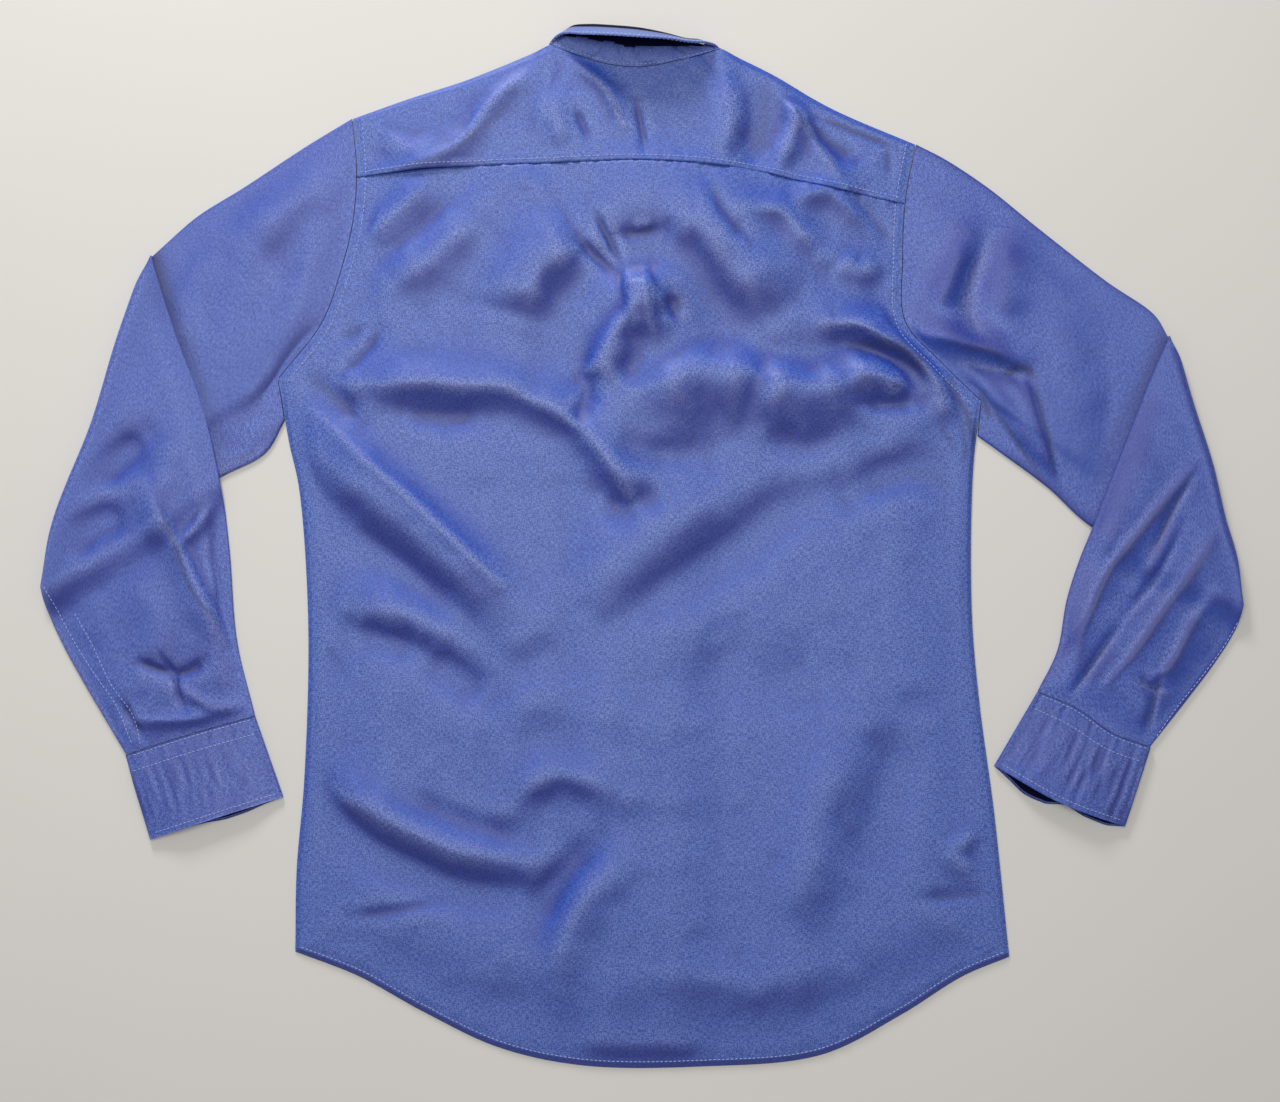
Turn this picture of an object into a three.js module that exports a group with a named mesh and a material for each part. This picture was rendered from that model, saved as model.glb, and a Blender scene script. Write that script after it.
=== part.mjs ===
// A long-sleeved oxford shirt lying flat with its back up. Each sleeve turns over once on a
// slanting crease, so that its forearm lies on top of its upper half and points to the hem.
//
// Millimetres, +Z up, +Y towards the collar, +X towards the wearer's right side.
// The origin is on the floor, under the middle of the shirt.
//
// The back and yoke lie over the two fronts, with the placket and its buttons lowest of all.
// Every piece is a closed wall of cloth; sleeves, cuffs and the collar stand are hollow tubes
// pressed flat. Heights come from the layers below plus the folds listed in the tables.

import * as THREE from 'three';

// ---------------------------------------------------------------------------------------
// Driving dimensions
// ---------------------------------------------------------------------------------------

const PANEL = 1.2; // wall of the back
const YOKE = 1.4; // wall of the doubled yoke
const FRONT = 1.0; // wall of the fronts and the placket
const SLEEVE = 1.0; // wall of the sleeves
const CUFF = 1.4; // wall of the lined cuffs
const COLLAR = 1.2; // wall of the lined collar
const SEAM = 0.3; // clearance where two pieces are sewn together
const LAYER = 0.35; // clearance between two layers that lie on each other
const HOLLOW = 0.6; // air left inside a tube pressed flat

const PLACKET_WIDTH = 30;
const PLACKET_LIFT = 2.3; // underside of the placket, above its buttons
const OVERLAP_LIFT = PLACKET_LIFT + FRONT + SEAM; // underside of the right front's edge
const LEAF_LIFT = COLLAR + 0.6; // underside of the fronts over the collar's points
const STAND_LIFT = 2.5; // underside of the stand's front half
const NECK_LIFT = STAND_LIFT + COLLAR - FRONT; // lift of the fronts' level over the stand

const BUTTON = { radius: 5.6, thick: 1.9, dish: 0.5, rim: 1.6 };
const PLACKET_BUTTONS = { count: 6, first: 236, spacing: 90 };
const COLLAR_BUTTON_Y = 316;

const EDGE_ROLL = 4; // width over which the back curls down round the fronts
const FRONT_INSET = 6.5; // how far a front stays inside the back at its side and shoulder
const HEM_STEP = 20; // how far the fronts' hem stays inside the back's hem
const PUFF = 4; // height of the trapped air under the back
const PUFF_REACH = 70; // distance from an edge at which the puff is full

const CREASE_AXIS = 4.6; // height of the axis that a sleeve turns over on
const CREASE_PUFF = 1.2; // extra height of a sleeve next to its crease
const CREASE_REACH = 32; // how far that extra height runs from the crease
const SLEEVE_PUFF = 3; // trapped air in the middle of a sleeve
const DROP = 26; // length over which a forearm drops off its upper sleeve

const NECK = { x: -3, y: 335 }; // middle of the neck hole
const MIDDLE = { x: 1.55, y: 0.45 }; // middle of the whole shirt in the tables' coordinates

// ---------------------------------------------------------------------------------------
// Small tools
// ---------------------------------------------------------------------------------------

const { smoothstep, lerp, clamp } = THREE.MathUtils;
const plan = (x, y) => new THREE.Vector2(x, y);
const mix = (a, b, t) => a.clone().lerp(b, t);

// A smooth edge through its points, read by the share t of its length.
function edge(...points) {
  const curve = new THREE.CatmullRomCurve3(
    points.map(([x, y]) => new THREE.Vector3(x, y, 0)), false, 'centripetal');
  return (t) => {
    const p = curve.getPointAt(clamp(t, 0, 1));
    return plan(p.x, p.y);
  };
}

// Several edges end to end; each runs up to its own share of the whole.
function chain(...parts) {
  return (t) => {
    let from = 0;
    for (const { line, until } of parts) {
      if (t <= until || until === 1) return line((t - from) / (until - from));
      from = until;
    }
  };
}

// An edge moved sideways: positive distances go to the left of its direction. With a ramp it
// draws away from the first edge over that share of the length.
function offset(line, distance, ramp = 0) {
  const step = 0.002;
  return (t) => {
    const along = line(Math.min(1, t + step)).sub(line(Math.max(0, t - step))).normalize();
    const away = ramp > 0 ? distance * smoothstep(t, 0, ramp) : distance;
    return line(t).add(plan(-along.y, along.x).multiplyScalar(away));
  };
}

// An edge moved sideways, but starting and ending where it is told to.
function inset(line, distance, start, end) {
  const moved = offset(line, distance);
  const inner = [0.2, 0.4, 0.6, 0.8].map((t) => moved(t).toArray());
  return edge(start.toArray(), ...inner, end.toArray());
}

// The share of an edge at which its x passes a value.
function shareAtX(line, x) {
  let [low, high] = [0, 0.6];
  for (let i = 0; i < 24; i += 1) {
    const middle = (low + high) / 2;
    const passed = (line(middle).x > x) === (line(0).x < x);
    [low, high] = passed ? [low, middle] : [middle, high];
  }
  return low;
}

// The plan of a piece between four edges: u runs along top and bottom, v down the sides. The
// bend of a side fades away from it, the sooner the larger the grip.
function patch({ top, bottom, left, right, grip = 1 }) {
  const bend = (side, u, v) => side(v).sub(mix(top(u), bottom(u), v));
  return (u, v) => mix(top(u), bottom(u), v)
    .addScaledVector(bend(left, 0, v), (1 - u) ** grip)
    .addScaledVector(bend(right, 1, v), u ** grip);
}

// Evenly spread shares of an edge, with extra ones given as distances from its two ends.
function shares(count, length, fromStart = [], fromEnd = []) {
  const start = fromStart.map((d) => d / length);
  const end = fromEnd.map((d) => 1 - d / length);
  const low = start.length ? Math.max(...start) : 0;
  const high = end.length ? Math.min(...end) : 1;
  const even = Array.from({ length: count + 1 }, (_, i) => lerp(low, high, i / count));
  return [...new Set([0, ...start, ...even, ...end, 1])].sort((a, b) => a - b);
}

// A closed skin from two grids of points that face each other. Row i of either grid may close
// on itself; the two are joined along every border that stays open.
function skin(outer, inner, { closedRows = false } = {}) {
  const rows = outer.length;
  const cols = outer[0].length;
  const points = [...outer.flat(), ...inner.flat()];
  const at = (side, i, j) => side * rows * cols + i * cols + (j % cols);
  const faces = [];
  const quad = (a, b, c, d) => faces.push(a, b, c, a, c, d);
  const spans = closedRows ? cols : cols - 1;
  for (let i = 0; i < rows - 1; i += 1) {
    for (let j = 0; j < spans; j += 1) {
      quad(at(0, i, j), at(0, i, j + 1), at(0, i + 1, j + 1), at(0, i + 1, j));
      quad(at(1, i + 1, j), at(1, i + 1, j + 1), at(1, i, j + 1), at(1, i, j));
    }
  }
  for (let j = 0; j < spans; j += 1) {
    quad(at(0, 0, j + 1), at(0, 0, j), at(1, 0, j), at(1, 0, j + 1));
    quad(at(0, rows - 1, j), at(0, rows - 1, j + 1), at(1, rows - 1, j + 1), at(1, rows - 1, j));
  }
  for (let i = 0; i < rows - 1 && !closedRows; i += 1) {
    quad(at(0, i, 0), at(0, i + 1, 0), at(1, i + 1, 0), at(1, i, 0));
    quad(at(0, i + 1, cols - 1), at(0, i, cols - 1), at(1, i, cols - 1), at(1, i + 1, cols - 1));
  }
  return facingOut(points, faces);
}

// Turns all faces round if they enclose a negative volume.
function facingOut(points, faces) {
  let volume = 0;
  for (let k = 0; k < faces.length; k += 3) {
    const [a, b, c] = [points[faces[k]], points[faces[k + 1]], points[faces[k + 2]]];
    volume += a.dot(b.clone().cross(c));
  }
  const index = volume > 0 ? faces : faces.reverse();
  const geometry = new THREE.BufferGeometry();
  geometry.setAttribute('position',
    new THREE.Float32BufferAttribute(points.flatMap((p) => p.toArray()), 3));
  geometry.setIndex(index);
  return geometry;
}

// A panel: a wall standing on the heights that under(u, v, x, y) gives over its plan.
function panel({ outline, us, vs, wall, under }) {
  const lower = vs.map((v) => us.map((u) => {
    const p = outline(u, v);
    return new THREE.Vector3(p.x, p.y, under(u, v, p.x, p.y));
  }));
  const upper = lower.map((row) => row.map((p) => p.clone().setZ(p.z + wall)));
  return skin(upper, lower);
}

// A tube pressed flat. place(s, t, h) puts a point that is s along the tube, t across it from
// one fold to the other and h up through its thickness, from 0 to 2 walls and the hollow. The
// folds at its two sides are rounded over a share of its width.
function flatTube({ stations, across, wall, rounding, place }) {
  const high = 2 * wall + HOLLOW;
  const loop = (depth, turn) => {
    const kept = across.map((t) => clamp(t, turn + rounding / 2, 1 - turn - rounding / 2));
    const low = kept.map((t) => ({ t, h: depth }));
    const top = kept.map((t) => ({ t, h: high - depth })).reverse();
    return [{ t: turn, h: high / 2 }, ...low, { t: 1 - turn, h: high / 2 }, ...top];
  };
  const ring = (points) => stations.map((s) => points.map(({ t, h }) => place(s, t, h)));
  return skin(ring(loop(0, 0)), ring(loop(wall, rounding)), { closedRows: true });
}

// A strip of cloth between a root line and a free edge, given by stations along both.
function ribbon({ root, free, count, widths, wall }) {
  const line = (rows) => new THREE.CatmullRomCurve3(
    rows.map((row) => new THREE.Vector3(...row)), false, 'centripetal');
  const [rootLine, freeLine] = [line(root), line(free)];
  const middle = (i, w) => mix(rootLine.getPoint(i / count), freeLine.getPoint(i / count), w);
  const side = (sign) => Array.from({ length: count + 1 }, (_, i) => widths.map((w) => {
    const along = middle(Math.min(count, i + 1), w).sub(middle(Math.max(0, i - 1), w));
    const over = middle(i, 1).sub(middle(i, 0));
    return middle(i, w).addScaledVector(along.cross(over).normalize(), sign * wall / 2);
  }));
  return skin(side(1), side(-1));
}

// ---------------------------------------------------------------------------------------
// Folds: soft ridges (height above 0) and troughs (below 0) along bent lines
// ---------------------------------------------------------------------------------------

const FOLD_STEPS = 12; // straight runs that a fold's line is read in

// The points of its line; half the fold's width; its height; skew makes the side on the right
// of its direction steeper (above 0) or gentler (below 0).
function fold(points, reach, height, skew = 0) {
  return { line: shares(FOLD_STEPS, 1).map(edge(...points)), reach, height, skew };
}

const BACK_FOLDS = [
  // points of the line, reach, height, skew
  fold([[-216, 126], [-166, 128], [-137, 125], [-106, 124], [-80, 114]], 20, 7.5, 0.2),
  fold([[-94, 118], [-62, 104], [-36, 82], [-16, 56], [0, 28]], 21, 7.5, 0.3),
  fold([[-40, 142], [-42, 116], [-50, 92]], 14, -6),
  fold([[-30, 42], [-12, 30], [20, 44]], 16, -3.5),
  fold([[-268, 94], [-236, 72], [-206, 46], [-170, 14], [-130, -20], [-92, -62]], 27, 8, 0.05),
  fold([[-226, 12], [-180, -18], [-140, -58]], 22, -4),
  fold([[-46, 116], [-24, 158], [0, 192], [10, 203]], 16, 7, -0.2),
  fold([[-66, 152], [-34, 188], [-14, 208]], 19, -7, 0.4),
  fold([[2, 225], [24, 208], [46, 182], [66, 148]], 32, -8, -0.4),
  fold([[0, 116], [19, 124], [46, 136], [78, 134], [99, 129]], 23, 8.5, -0.22),
  fold([[86, 132], [126, 124], [150, 126], [166, 134]], 23, 8.5, -0.22),
  fold([[156, 131], [180, 134], [210, 122]], 17, 6, -0.1),
  fold([[-28, 92], [6, 84], [50, 86]], 18, -5.5),
  fold([[98, 108], [124, 90], [160, 104]], 18, -5.5),
  fold([[146, 172], [168, 172], [190, 161], [211, 150], [227, 134], [234, 110]], 15, 9.5, 0.35),
  fold([[-160, 284], [-186, 262], [-212, 238]], 14, 4.5),
  fold([[-124, 262], [-152, 230], [-192, 204]], 18, 5.5),
  fold([[84, 264], [108, 259], [126, 240], [138, 226]], 13, 4, 0.2),
  fold([[112, 268], [146, 274], [180, 248]], 14, 4.5),
  fold([[162, 38], [190, 54], [222, 58], [245, 40]], 18, -5),
  fold([[-22, -56], [28, -28], [74, 0], [112, 30], [150, 42]], 25, -4.8),
  fold([[-60, -60], [-20, -20], [40, 24], [92, 56]], 34, 3.5),
  fold([[-222, -64], [-169, -78]], 17, -4.5),
  fold([[-226, -46], [-168, -56], [-126, -92]], 22, 4),
  fold([[-166, -82], [-118, -116]], 20, -5),
  fold([[-244, -176], [-208, -202], [-169, -222], [-132, -236], [-90, -244]], 22, 7, 0.15),
  fold([[-259, -182], [-235, -213], [-188, -243], [-133, -264], [-80, -270]], 21, -6),
  fold([[-184, -192], [-133, -214], [-86, -226]], 14, -3.5),
  fold([[-100, -198], [-76, -178], [-48, -176], [-14, -192]], 22, 5, 0.2),
  fold([[-12, -240], [-43, -270], [-58, -302], [-60, -340]], 20, 4.5, 0.1),
  fold([[166, -140], [142, -190], [128, -244], [116, -300]], 30, 5),
  fold([[204, -130], [190, -190], [178, -262]], 28, -3.5),
];

const YOKE_FOLDS = [
  fold([[-69, 384], [-116, 342], [-133, 318], [-154, 302], [-208, 290]], 13, 4.5, 0.2),
  fold([[93, 364], [94, 331], [84, 292]], 18, -7.5),
  fold([[108, 349], [135, 315], [159, 279]], 10, 4.5),
  fold([[134, 326], [146, 314], [166, 302]], 11, -5),
];

const LEFT_UPPER_FOLDS = [
  fold([[-236, 306], [-262, 268], [-300, 232]], 24, 3),
  fold([[-330, 240], [-350, 190], [-352, 140]], 26, 2.5),
];

const LEFT_FOREARM_FOLDS = [
  fold([[-382, 50], [-358, 7], [-334, -44], [-314, -84]], 20, 5, -0.7),
  fold([[-380, 86], [-402, 66], [-422, 48]], 15, -4.5),
  fold([[-392, 26], [-424, 14], [-446, -8]], 17, -5),
  fold([[-388, -10], [-372, -60], [-380, -96]], 22, 3),
];

const RIGHT_UPPER_FOLDS = [
  fold([[212, 162], [246, 153], [270, 148], [291, 141]], 15, 7, 0.5),
  fold([[292, 138], [300, 124], [308, 98], [318, 66], [325, 46]], 13, 4.5, -0.5),
  fold([[254, 240], [240, 210], [226, 180]], 15, 5, 0.1),
  fold([[268, 238], [257, 208], [255, 178], [274, 150]], 13, -5),
  fold([[292, 236], [282, 200], [296, 168]], 22, 3.5),
  fold([[330, 190], [338, 140], [356, 90]], 26, 2.5),
];

const RIGHT_FOREARM_FOLDS = [
  fold([[438, 74], [419, 53], [389, 17], [363, -17], [344, -58], [326, -84]], 19, 4, 0.75),
  fold([[448, 18], [431, -11], [401, -54], [380, -84], [362, -104]], 17, 4.2, 0.75),
  fold([[440, -40], [427, -58], [410, -90], [394, -103]], 13, 3.6, 0.7),
];

const FOLD_END = { height: 0.35, ramp: 0.3 }; // a fold's height at its ends; its rise from them
const FOLD_FALL = 1.6; // how fast a fold falls away at its reach

// How high a set of folds stands at a place.
function foldHeight(folds, x, y) {
  let sum = 0;
  for (const { line, reach, height, skew } of folds) {
    let near = { distance: Infinity };
    for (let k = 0; k < line.length - 1; k += 1) {
      const [a, b] = [line[k], line[k + 1]];
      const [dx, dy] = [b.x - a.x, b.y - a.y];
      const share = clamp(((x - a.x) * dx + (y - a.y) * dy) / (dx * dx + dy * dy), 0, 1);
      const [ox, oy] = [x - a.x - share * dx, y - a.y - share * dy];
      const distance = Math.hypot(ox, oy);
      if (distance < near.distance) {
        near = { distance, side: Math.sign(dx * oy - dy * ox), t: (k + share) / (line.length - 1) };
      }
    }
    const spread = near.distance / (reach * (1 + near.side * skew));
    const ends = smoothstep(near.t, 0, FOLD_END.ramp) * smoothstep(1 - near.t, 0, FOLD_END.ramp);
    sum += height * lerp(FOLD_END.height, 1, ends) * Math.exp(-FOLD_FALL * spread * spread);
  }
  return sum;
}

// ---------------------------------------------------------------------------------------
// Plan of the body
// ---------------------------------------------------------------------------------------

const ARMHOLE_LEFT = edge([-222, 332], [-219, 288], [-222, 252], [-229, 222], [-246, 174],
  [-280, 130]);
const ARMHOLE_RIGHT = edge([213, 312], [205, 268], [203, 222], [205, 175], [233, 143],
  [264, 113]);
const SIDE_LEFT = edge([-280, 130], [-272, 82], [-264, 45], [-257, -60], [-260, -178],
  [-266, -250], [-267, -313]);
const SIDE_RIGHT = edge([264, 113], [258, 59], [257, -50], [263, -121], [274, -203],
  [286, -317]);
const HEM = edge([-267, -313], [-218, -332], [-167, -360], [-110, -387], [-46, -401],
  [47, -402], [140, -393], [202, -362], [250, -332], [286, -317]);
const YOKE_SEAM = edge([-219, 288], [-161, 294], [-74, 298], [2, 300], [78, 294], [136, 282],
  [205, 268]);
const SHOULDER_LEFT = edge([-222, 332], [-180, 347], [-125, 365], [-69, 388]);
const SHOULDER_RIGHT = edge([63, 385], [100, 367], [150, 339], [213, 312]);
const NECK_BACK = edge([-69, 388], [-48, 380], [-24, 373], [0, 371], [30, 376], [63, 385]);

const ARMHOLE_YOKE_SHARE = 0.21; // part of the armhole that the yoke takes
const PIT = 0.28; // where the armhole ends, as a share of the back's side
const BACK_WIDTH = 540; // typical width and length, for distances from an edge
const BACK_LENGTH = 615;

// The armhole's own share t of its length, read from the shoulder down; the panels and the
// sleeve all use these same steps, so that their edges follow each other at the seam.
const YOKE_STEPS = [0, 0.07, 0.14, 0.21];
const SIDE_STEPS = [0.21, 0.32, 0.43, 0.54, 0.65, 0.76, 0.86, 0.93, 1];
const ARMHOLE_STEPS = [...YOKE_STEPS, ...SIDE_STEPS.slice(1)];
const YOKE_ROLL_STEP = 0.012; // one more step in the yoke, where it starts to curl down

const part = (line, from, to) => (t) => line(lerp(from, to, t));
const reversed = (line) => part(line, 1, 0);
const backSide = (armhole, side) => chain(
  { line: part(armhole, ARMHOLE_YOKE_SHARE, 1), until: PIT }, { line: side, until: 1 });

const NECK_LEFT_SHARE = 0.355; // where the neck starts and ends along the yoke's top
const NECK_RIGHT_SHARE = 0.655;

// Columns shared by the back and the yoke, with one at either end of the neck.
const BODY_COLUMNS = [
  ...shares(8, BACK_WIDTH * NECK_LEFT_SHARE, [EDGE_ROLL]).map((t) => t * NECK_LEFT_SHARE),
  ...shares(8, 1).map((t) => lerp(NECK_LEFT_SHARE, NECK_RIGHT_SHARE, t)).slice(1, -1),
  ...shares(8, BACK_WIDTH * (1 - NECK_RIGHT_SHARE), [], [EDGE_ROLL])
    .map((t) => lerp(NECK_RIGHT_SHARE, 1, t)),
];
const YOKE_TOP = chain(
  { line: SHOULDER_LEFT, until: NECK_LEFT_SHARE },
  { line: offset(NECK_BACK, -2.5 * SEAM), until: NECK_RIGHT_SHARE },
  { line: SHOULDER_RIGHT, until: 1 });

// ---------------------------------------------------------------------------------------
// Levels of the layers
// ---------------------------------------------------------------------------------------

// Each level spreads flat over what lies below, then fades between two distances from it.
const PLACKET_RAMP = { from: PLACKET_WIDTH / 2 + 4, to: PLACKET_WIDTH / 2 + 48 };
const PLACKET_END = { from: 302, to: 350 }; // the placket's top, in y
const LEAF_RAMP = { from: 50, to: 84 }; // distances from the middle line of a collar point
const LEAF_LINE = { top: { x: 62, y: 374 }, tip: { x: 42, y: 290 } };
const STAND_RAMP = { from: 58, to: 84 }; // distances from the middle of the neck hole
const fade = (distance, { from, to }) => 1 - smoothstep(distance, from, to);

// 1 over the placket and its overlap, 0 well beside it.
const overPlacket = (x, y) => fade(Math.abs(x), PLACKET_RAMP) * fade(y, PLACKET_END);

// 1 over the collar's two points, which lie under the fronts.
function overLeaf(x, y) {
  const { top, tip } = LEAF_LINE;
  const share = clamp((top.y - y) / (top.y - tip.y), 0, 1);
  const across = Math.abs(x - NECK.x) - lerp(top.x, tip.x, share);
  return fade(Math.hypot(across, y - lerp(top.y, tip.y, share)), LEAF_RAMP);
}

// 1 over the front half of the stand, inside the neck hole.
const overStand = (x, y) => fade(Math.hypot(x - NECK.x, y - NECK.y), STAND_RAMP);

const leftFrontUnder = (x, y) => Math.max(PLACKET_LIFT * overPlacket(x, y),
  LEAF_LIFT * overLeaf(x, y));
const rightFrontUnder = (x, y) => Math.max(OVERLAP_LIFT * overPlacket(x, y),
  LEAF_LIFT * overLeaf(x, y));

// Underside of whatever lies on both fronts.
const overFronts = (x, y) => FRONT + LAYER + Math.max(OVERLAP_LIFT * overPlacket(x, y),
  LEAF_LIFT * overLeaf(x, y), NECK_LIFT * overStand(x, y));

// Height of the air and folds under the back: none at an edge, all of it further in.
const FOLD_MARGIN = 2; // folds start this far inside an edge
const FOLD_RAMP = { back: 40, yoke: 28 }; // and are whole this much further in
const free = (x, y, inside) => smoothstep(inside, 0, PUFF_REACH) * PUFF
  + smoothstep(inside, FOLD_MARGIN, FOLD_MARGIN + FOLD_RAMP.back) * foldHeight(BACK_FOLDS, x, y);

// ---------------------------------------------------------------------------------------
// Body panels
// ---------------------------------------------------------------------------------------

const backOutline = patch({
  top: offset(YOKE_SEAM, -SEAM / 2),
  bottom: HEM,
  left: backSide(ARMHOLE_LEFT, SIDE_LEFT),
  right: backSide(ARMHOLE_RIGHT, SIDE_RIGHT),
});

const SEWN_FADE = 0.06; // share of the back's side, below the pit, over which the curl starts

// The back rests on the fronts and curls down to the floor round their edges.
function backUnder(u, v, x, y) {
  const toSide = Math.min(u, 1 - u) * BACK_WIDTH;
  const toHem = (1 - v) * BACK_LENGTH;
  const sewn = 1 - smoothstep(v, PIT, PIT + SEWN_FADE);
  const hemmed = smoothstep(toHem, EDGE_ROLL, HEM_STEP - 1);
  const level = lerp(FRONT + LAYER, overFronts(x, y), hemmed);
  const curl = smoothstep(toHem, 0, EDGE_ROLL) * Math.max(sewn, smoothstep(toSide, 0, EDGE_ROLL));
  return curl * (level + Math.max(0, free(x, y, Math.min(toSide, toHem))));
}

const back = () => panel({
  outline: backOutline,
  us: BODY_COLUMNS,
  vs: [
    ...SIDE_STEPS.map((t) => PIT * (t - ARMHOLE_YOKE_SHARE) / (1 - ARMHOLE_YOKE_SHARE)),
    ...shares(22, BACK_LENGTH * (1 - PIT), [], [EDGE_ROLL]).slice(1).map((t) => lerp(PIT, 1, t)),
  ],
  wall: PANEL,
  under: backUnder,
});

const yokeOutline = patch({
  top: YOKE_TOP,
  bottom: offset(YOKE_SEAM, SEAM / 2),
  left: part(ARMHOLE_LEFT, 0, ARMHOLE_YOKE_SHARE),
  right: part(ARMHOLE_RIGHT, 0, ARMHOLE_YOKE_SHARE),
});

const YOKE_DEPTH = 75;
const NECK_FADE = 0.04; // share of the yoke's top over which its curl stops beside the neck
const NECK_MARGIN = 20; // the yoke's folds also run out this far from the neck seam
const LEAF_TOUCH = 0.2; // how far the curled edge dips into the collar points' clearance

// The yoke continues the back's surface and curls down along the shoulders, but not at the
// neck, where the stand is sewn on, nor over the collar's points.
function yokeUnder(u, v, x, y) {
  const toShoulder = v * YOKE_DEPTH;
  const toSide = Math.min(u, 1 - u) * BACK_WIDTH;
  const beside = smoothstep(u, NECK_RIGHT_SHARE, NECK_RIGHT_SHARE + NECK_FADE)
    + 1 - smoothstep(u, NECK_LEFT_SHARE - NECK_FADE, NECK_LEFT_SHARE);
  const rolled = (1 - smoothstep(toShoulder, 0, EDGE_ROLL)) * beside;
  const inside = Math.min(toSide, FOLD_MARGIN + toShoulder + (1 - beside) * NECK_MARGIN);
  const folds = free(x, y, inside)
    + smoothstep(inside, FOLD_MARGIN, FOLD_MARGIN + FOLD_RAMP.yoke) * foldHeight(YOKE_FOLDS, x, y);
  const level = overFronts(x, y) + Math.max(0, folds);
  return lerp(level, Math.max(0, LEAF_LIFT * overLeaf(x, y) - LEAF_TOUCH), rolled);
}

const yoke = () => panel({
  outline: yokeOutline,
  us: BODY_COLUMNS,
  vs: [0, YOKE_ROLL_STEP, ...YOKE_STEPS.slice(1)].map((t) => t / ARMHOLE_YOKE_SHARE),
  wall: YOKE,
  under: yokeUnder,
});

// Half of the neckline on the fronts, from the middle of the neck hole.
const NECK_FRONT = [[66, 51], [66, 30], [54, -2], [32, -24], [14, -34], [0, -37]];
const neckHalf = (dir) => NECK_FRONT.map(([x, y]) => [NECK.x + dir * x, NECK.y + y]);
const NECK_RING_FRONT = edge(...neckHalf(-1), ...neckHalf(1).reverse().slice(1));
const NECK_STEPS = [0.04, 0.1, 0.18, 0.26, 0.34, 0.42, 0.5]; // steps of its first half
const PLACKET_TOP = NECK.y - 37.8;
const FRONT_HEM_MIDDLE = -402 + HEM_STEP + 3;
const FRONT_START = 0.03; // where a front starts along the armhole, just inside the yoke
const SHOULDER_SHARE = 0.6; // part of a front's top that the shoulder takes

// A front runs from its armhole and side to the middle. Its edges stay inside the back's.
function frontPiece({ armhole, side, shoulder, inward, neckline, hem, middle, under }) {
  const middleShare = shareAtX(neckline, middle);
  const neckSteps = [...NECK_STEPS.filter((t) => t < middleShare - 0.02), middleShare];
  const start = armhole(FRONT_START);
  return panel({
    outline: patch({
      top: chain(
        { line: inset(shoulder, inward, start, neckline(NECK_STEPS[0])), until: SHOULDER_SHARE },
        { line: part(neckline, NECK_STEPS[0], middleShare), until: 1 }),
      bottom: edge(side(1).toArray(), ...hem, [middle, FRONT_HEM_MIDDLE]),
      left: chain({ line: part(armhole, FRONT_START, 1), until: PIT }, { line: side, until: 1 }),
      right: edge(neckline(middleShare).toArray(), [middle, FRONT_HEM_MIDDLE]),
    }),
    us: [
      ...shares(5, 1).map((t) => t * SHOULDER_SHARE),
      ...neckSteps.slice(1).map((t) => lerp(SHOULDER_SHARE, 1,
        (t - NECK_STEPS[0]) / (middleShare - NECK_STEPS[0]))),
    ],
    vs: [
      ...[FRONT_START, ...ARMHOLE_STEPS.slice(1)]
        .map((t) => PIT * (t - FRONT_START) / (1 - FRONT_START)),
      ...[0.04, ...shares(8, 1).slice(1)].map((t) => lerp(PIT, 1, t)),
    ],
    wall: FRONT,
    under: (u, v, x, y) => under(x, y),
  });
}
const SIDE_KEPT = 0.965; // a front's side stops this far down the back's
const SIDE_RAMP = 0.04; // and draws in over its first stretch, from the pit

const frontLeft = () => frontPiece({
  armhole: ARMHOLE_LEFT,
  side: part(offset(SIDE_LEFT, FRONT_INSET, SIDE_RAMP), 0, SIDE_KEPT),
  shoulder: SHOULDER_LEFT,
  inward: -FRONT_INSET,
  neckline: NECK_RING_FRONT,
  hem: [[-215, -314], [-160, -342], [-100, -368]],
  middle: -PLACKET_WIDTH / 2 - SEAM,
  under: leftFrontUnder,
});

const frontRight = () => frontPiece({
  armhole: ARMHOLE_RIGHT,
  side: part(offset(SIDE_RIGHT, -FRONT_INSET, SIDE_RAMP), 0, SIDE_KEPT),
  shoulder: reversed(SHOULDER_RIGHT),
  inward: FRONT_INSET,
  neckline: reversed(NECK_RING_FRONT),
  hem: [[240, -315], [190, -344], [130, -372], [60, -381]],
  middle: -PLACKET_WIDTH / 2 + 1,
  under: rightFrontUnder,
});

const placket = () => panel({
  outline: (u, v) => plan(lerp(-1, 1, u) * PLACKET_WIDTH / 2, lerp(PLACKET_TOP, FRONT_HEM_MIDDLE, v)),
  us: [0, 0.5, 1],
  vs: shares(10, 1),
  wall: FRONT,
  under: () => PLACKET_LIFT,
});

// ---------------------------------------------------------------------------------------
// Sleeves
// ---------------------------------------------------------------------------------------

const SEWN = 0.4; // clearance of a sleeve along its armhole
const ARMHOLE_SHARE = 0.88; // part of a sleeve's end that is sewn in
const CROWDING = 1.4; // above 1 a crease's steps lie closer together at the crown
const PIT_GRIP = 7; // keeps an upper sleeve's plan from folding over at the pit

// Below the pit a sleeve bulges down beside the body, as far as a tip.
function armholeWithPit(armhole, tip) {
  const bulge = edge(armhole(1).toArray(), tip);
  return chain({ line: armhole, until: ARMHOLE_SHARE }, { line: bulge, until: 1 });
}

// A crease whose steps fan out from the pit.
const crowded = (...points) => {
  const line = edge(...points);
  return (t) => line(t ** CROWDING);
};
const SLEEVE_STEPS = [...ARMHOLE_STEPS.map((t) => t * ARMHOLE_SHARE), 0.94, 1];

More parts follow.
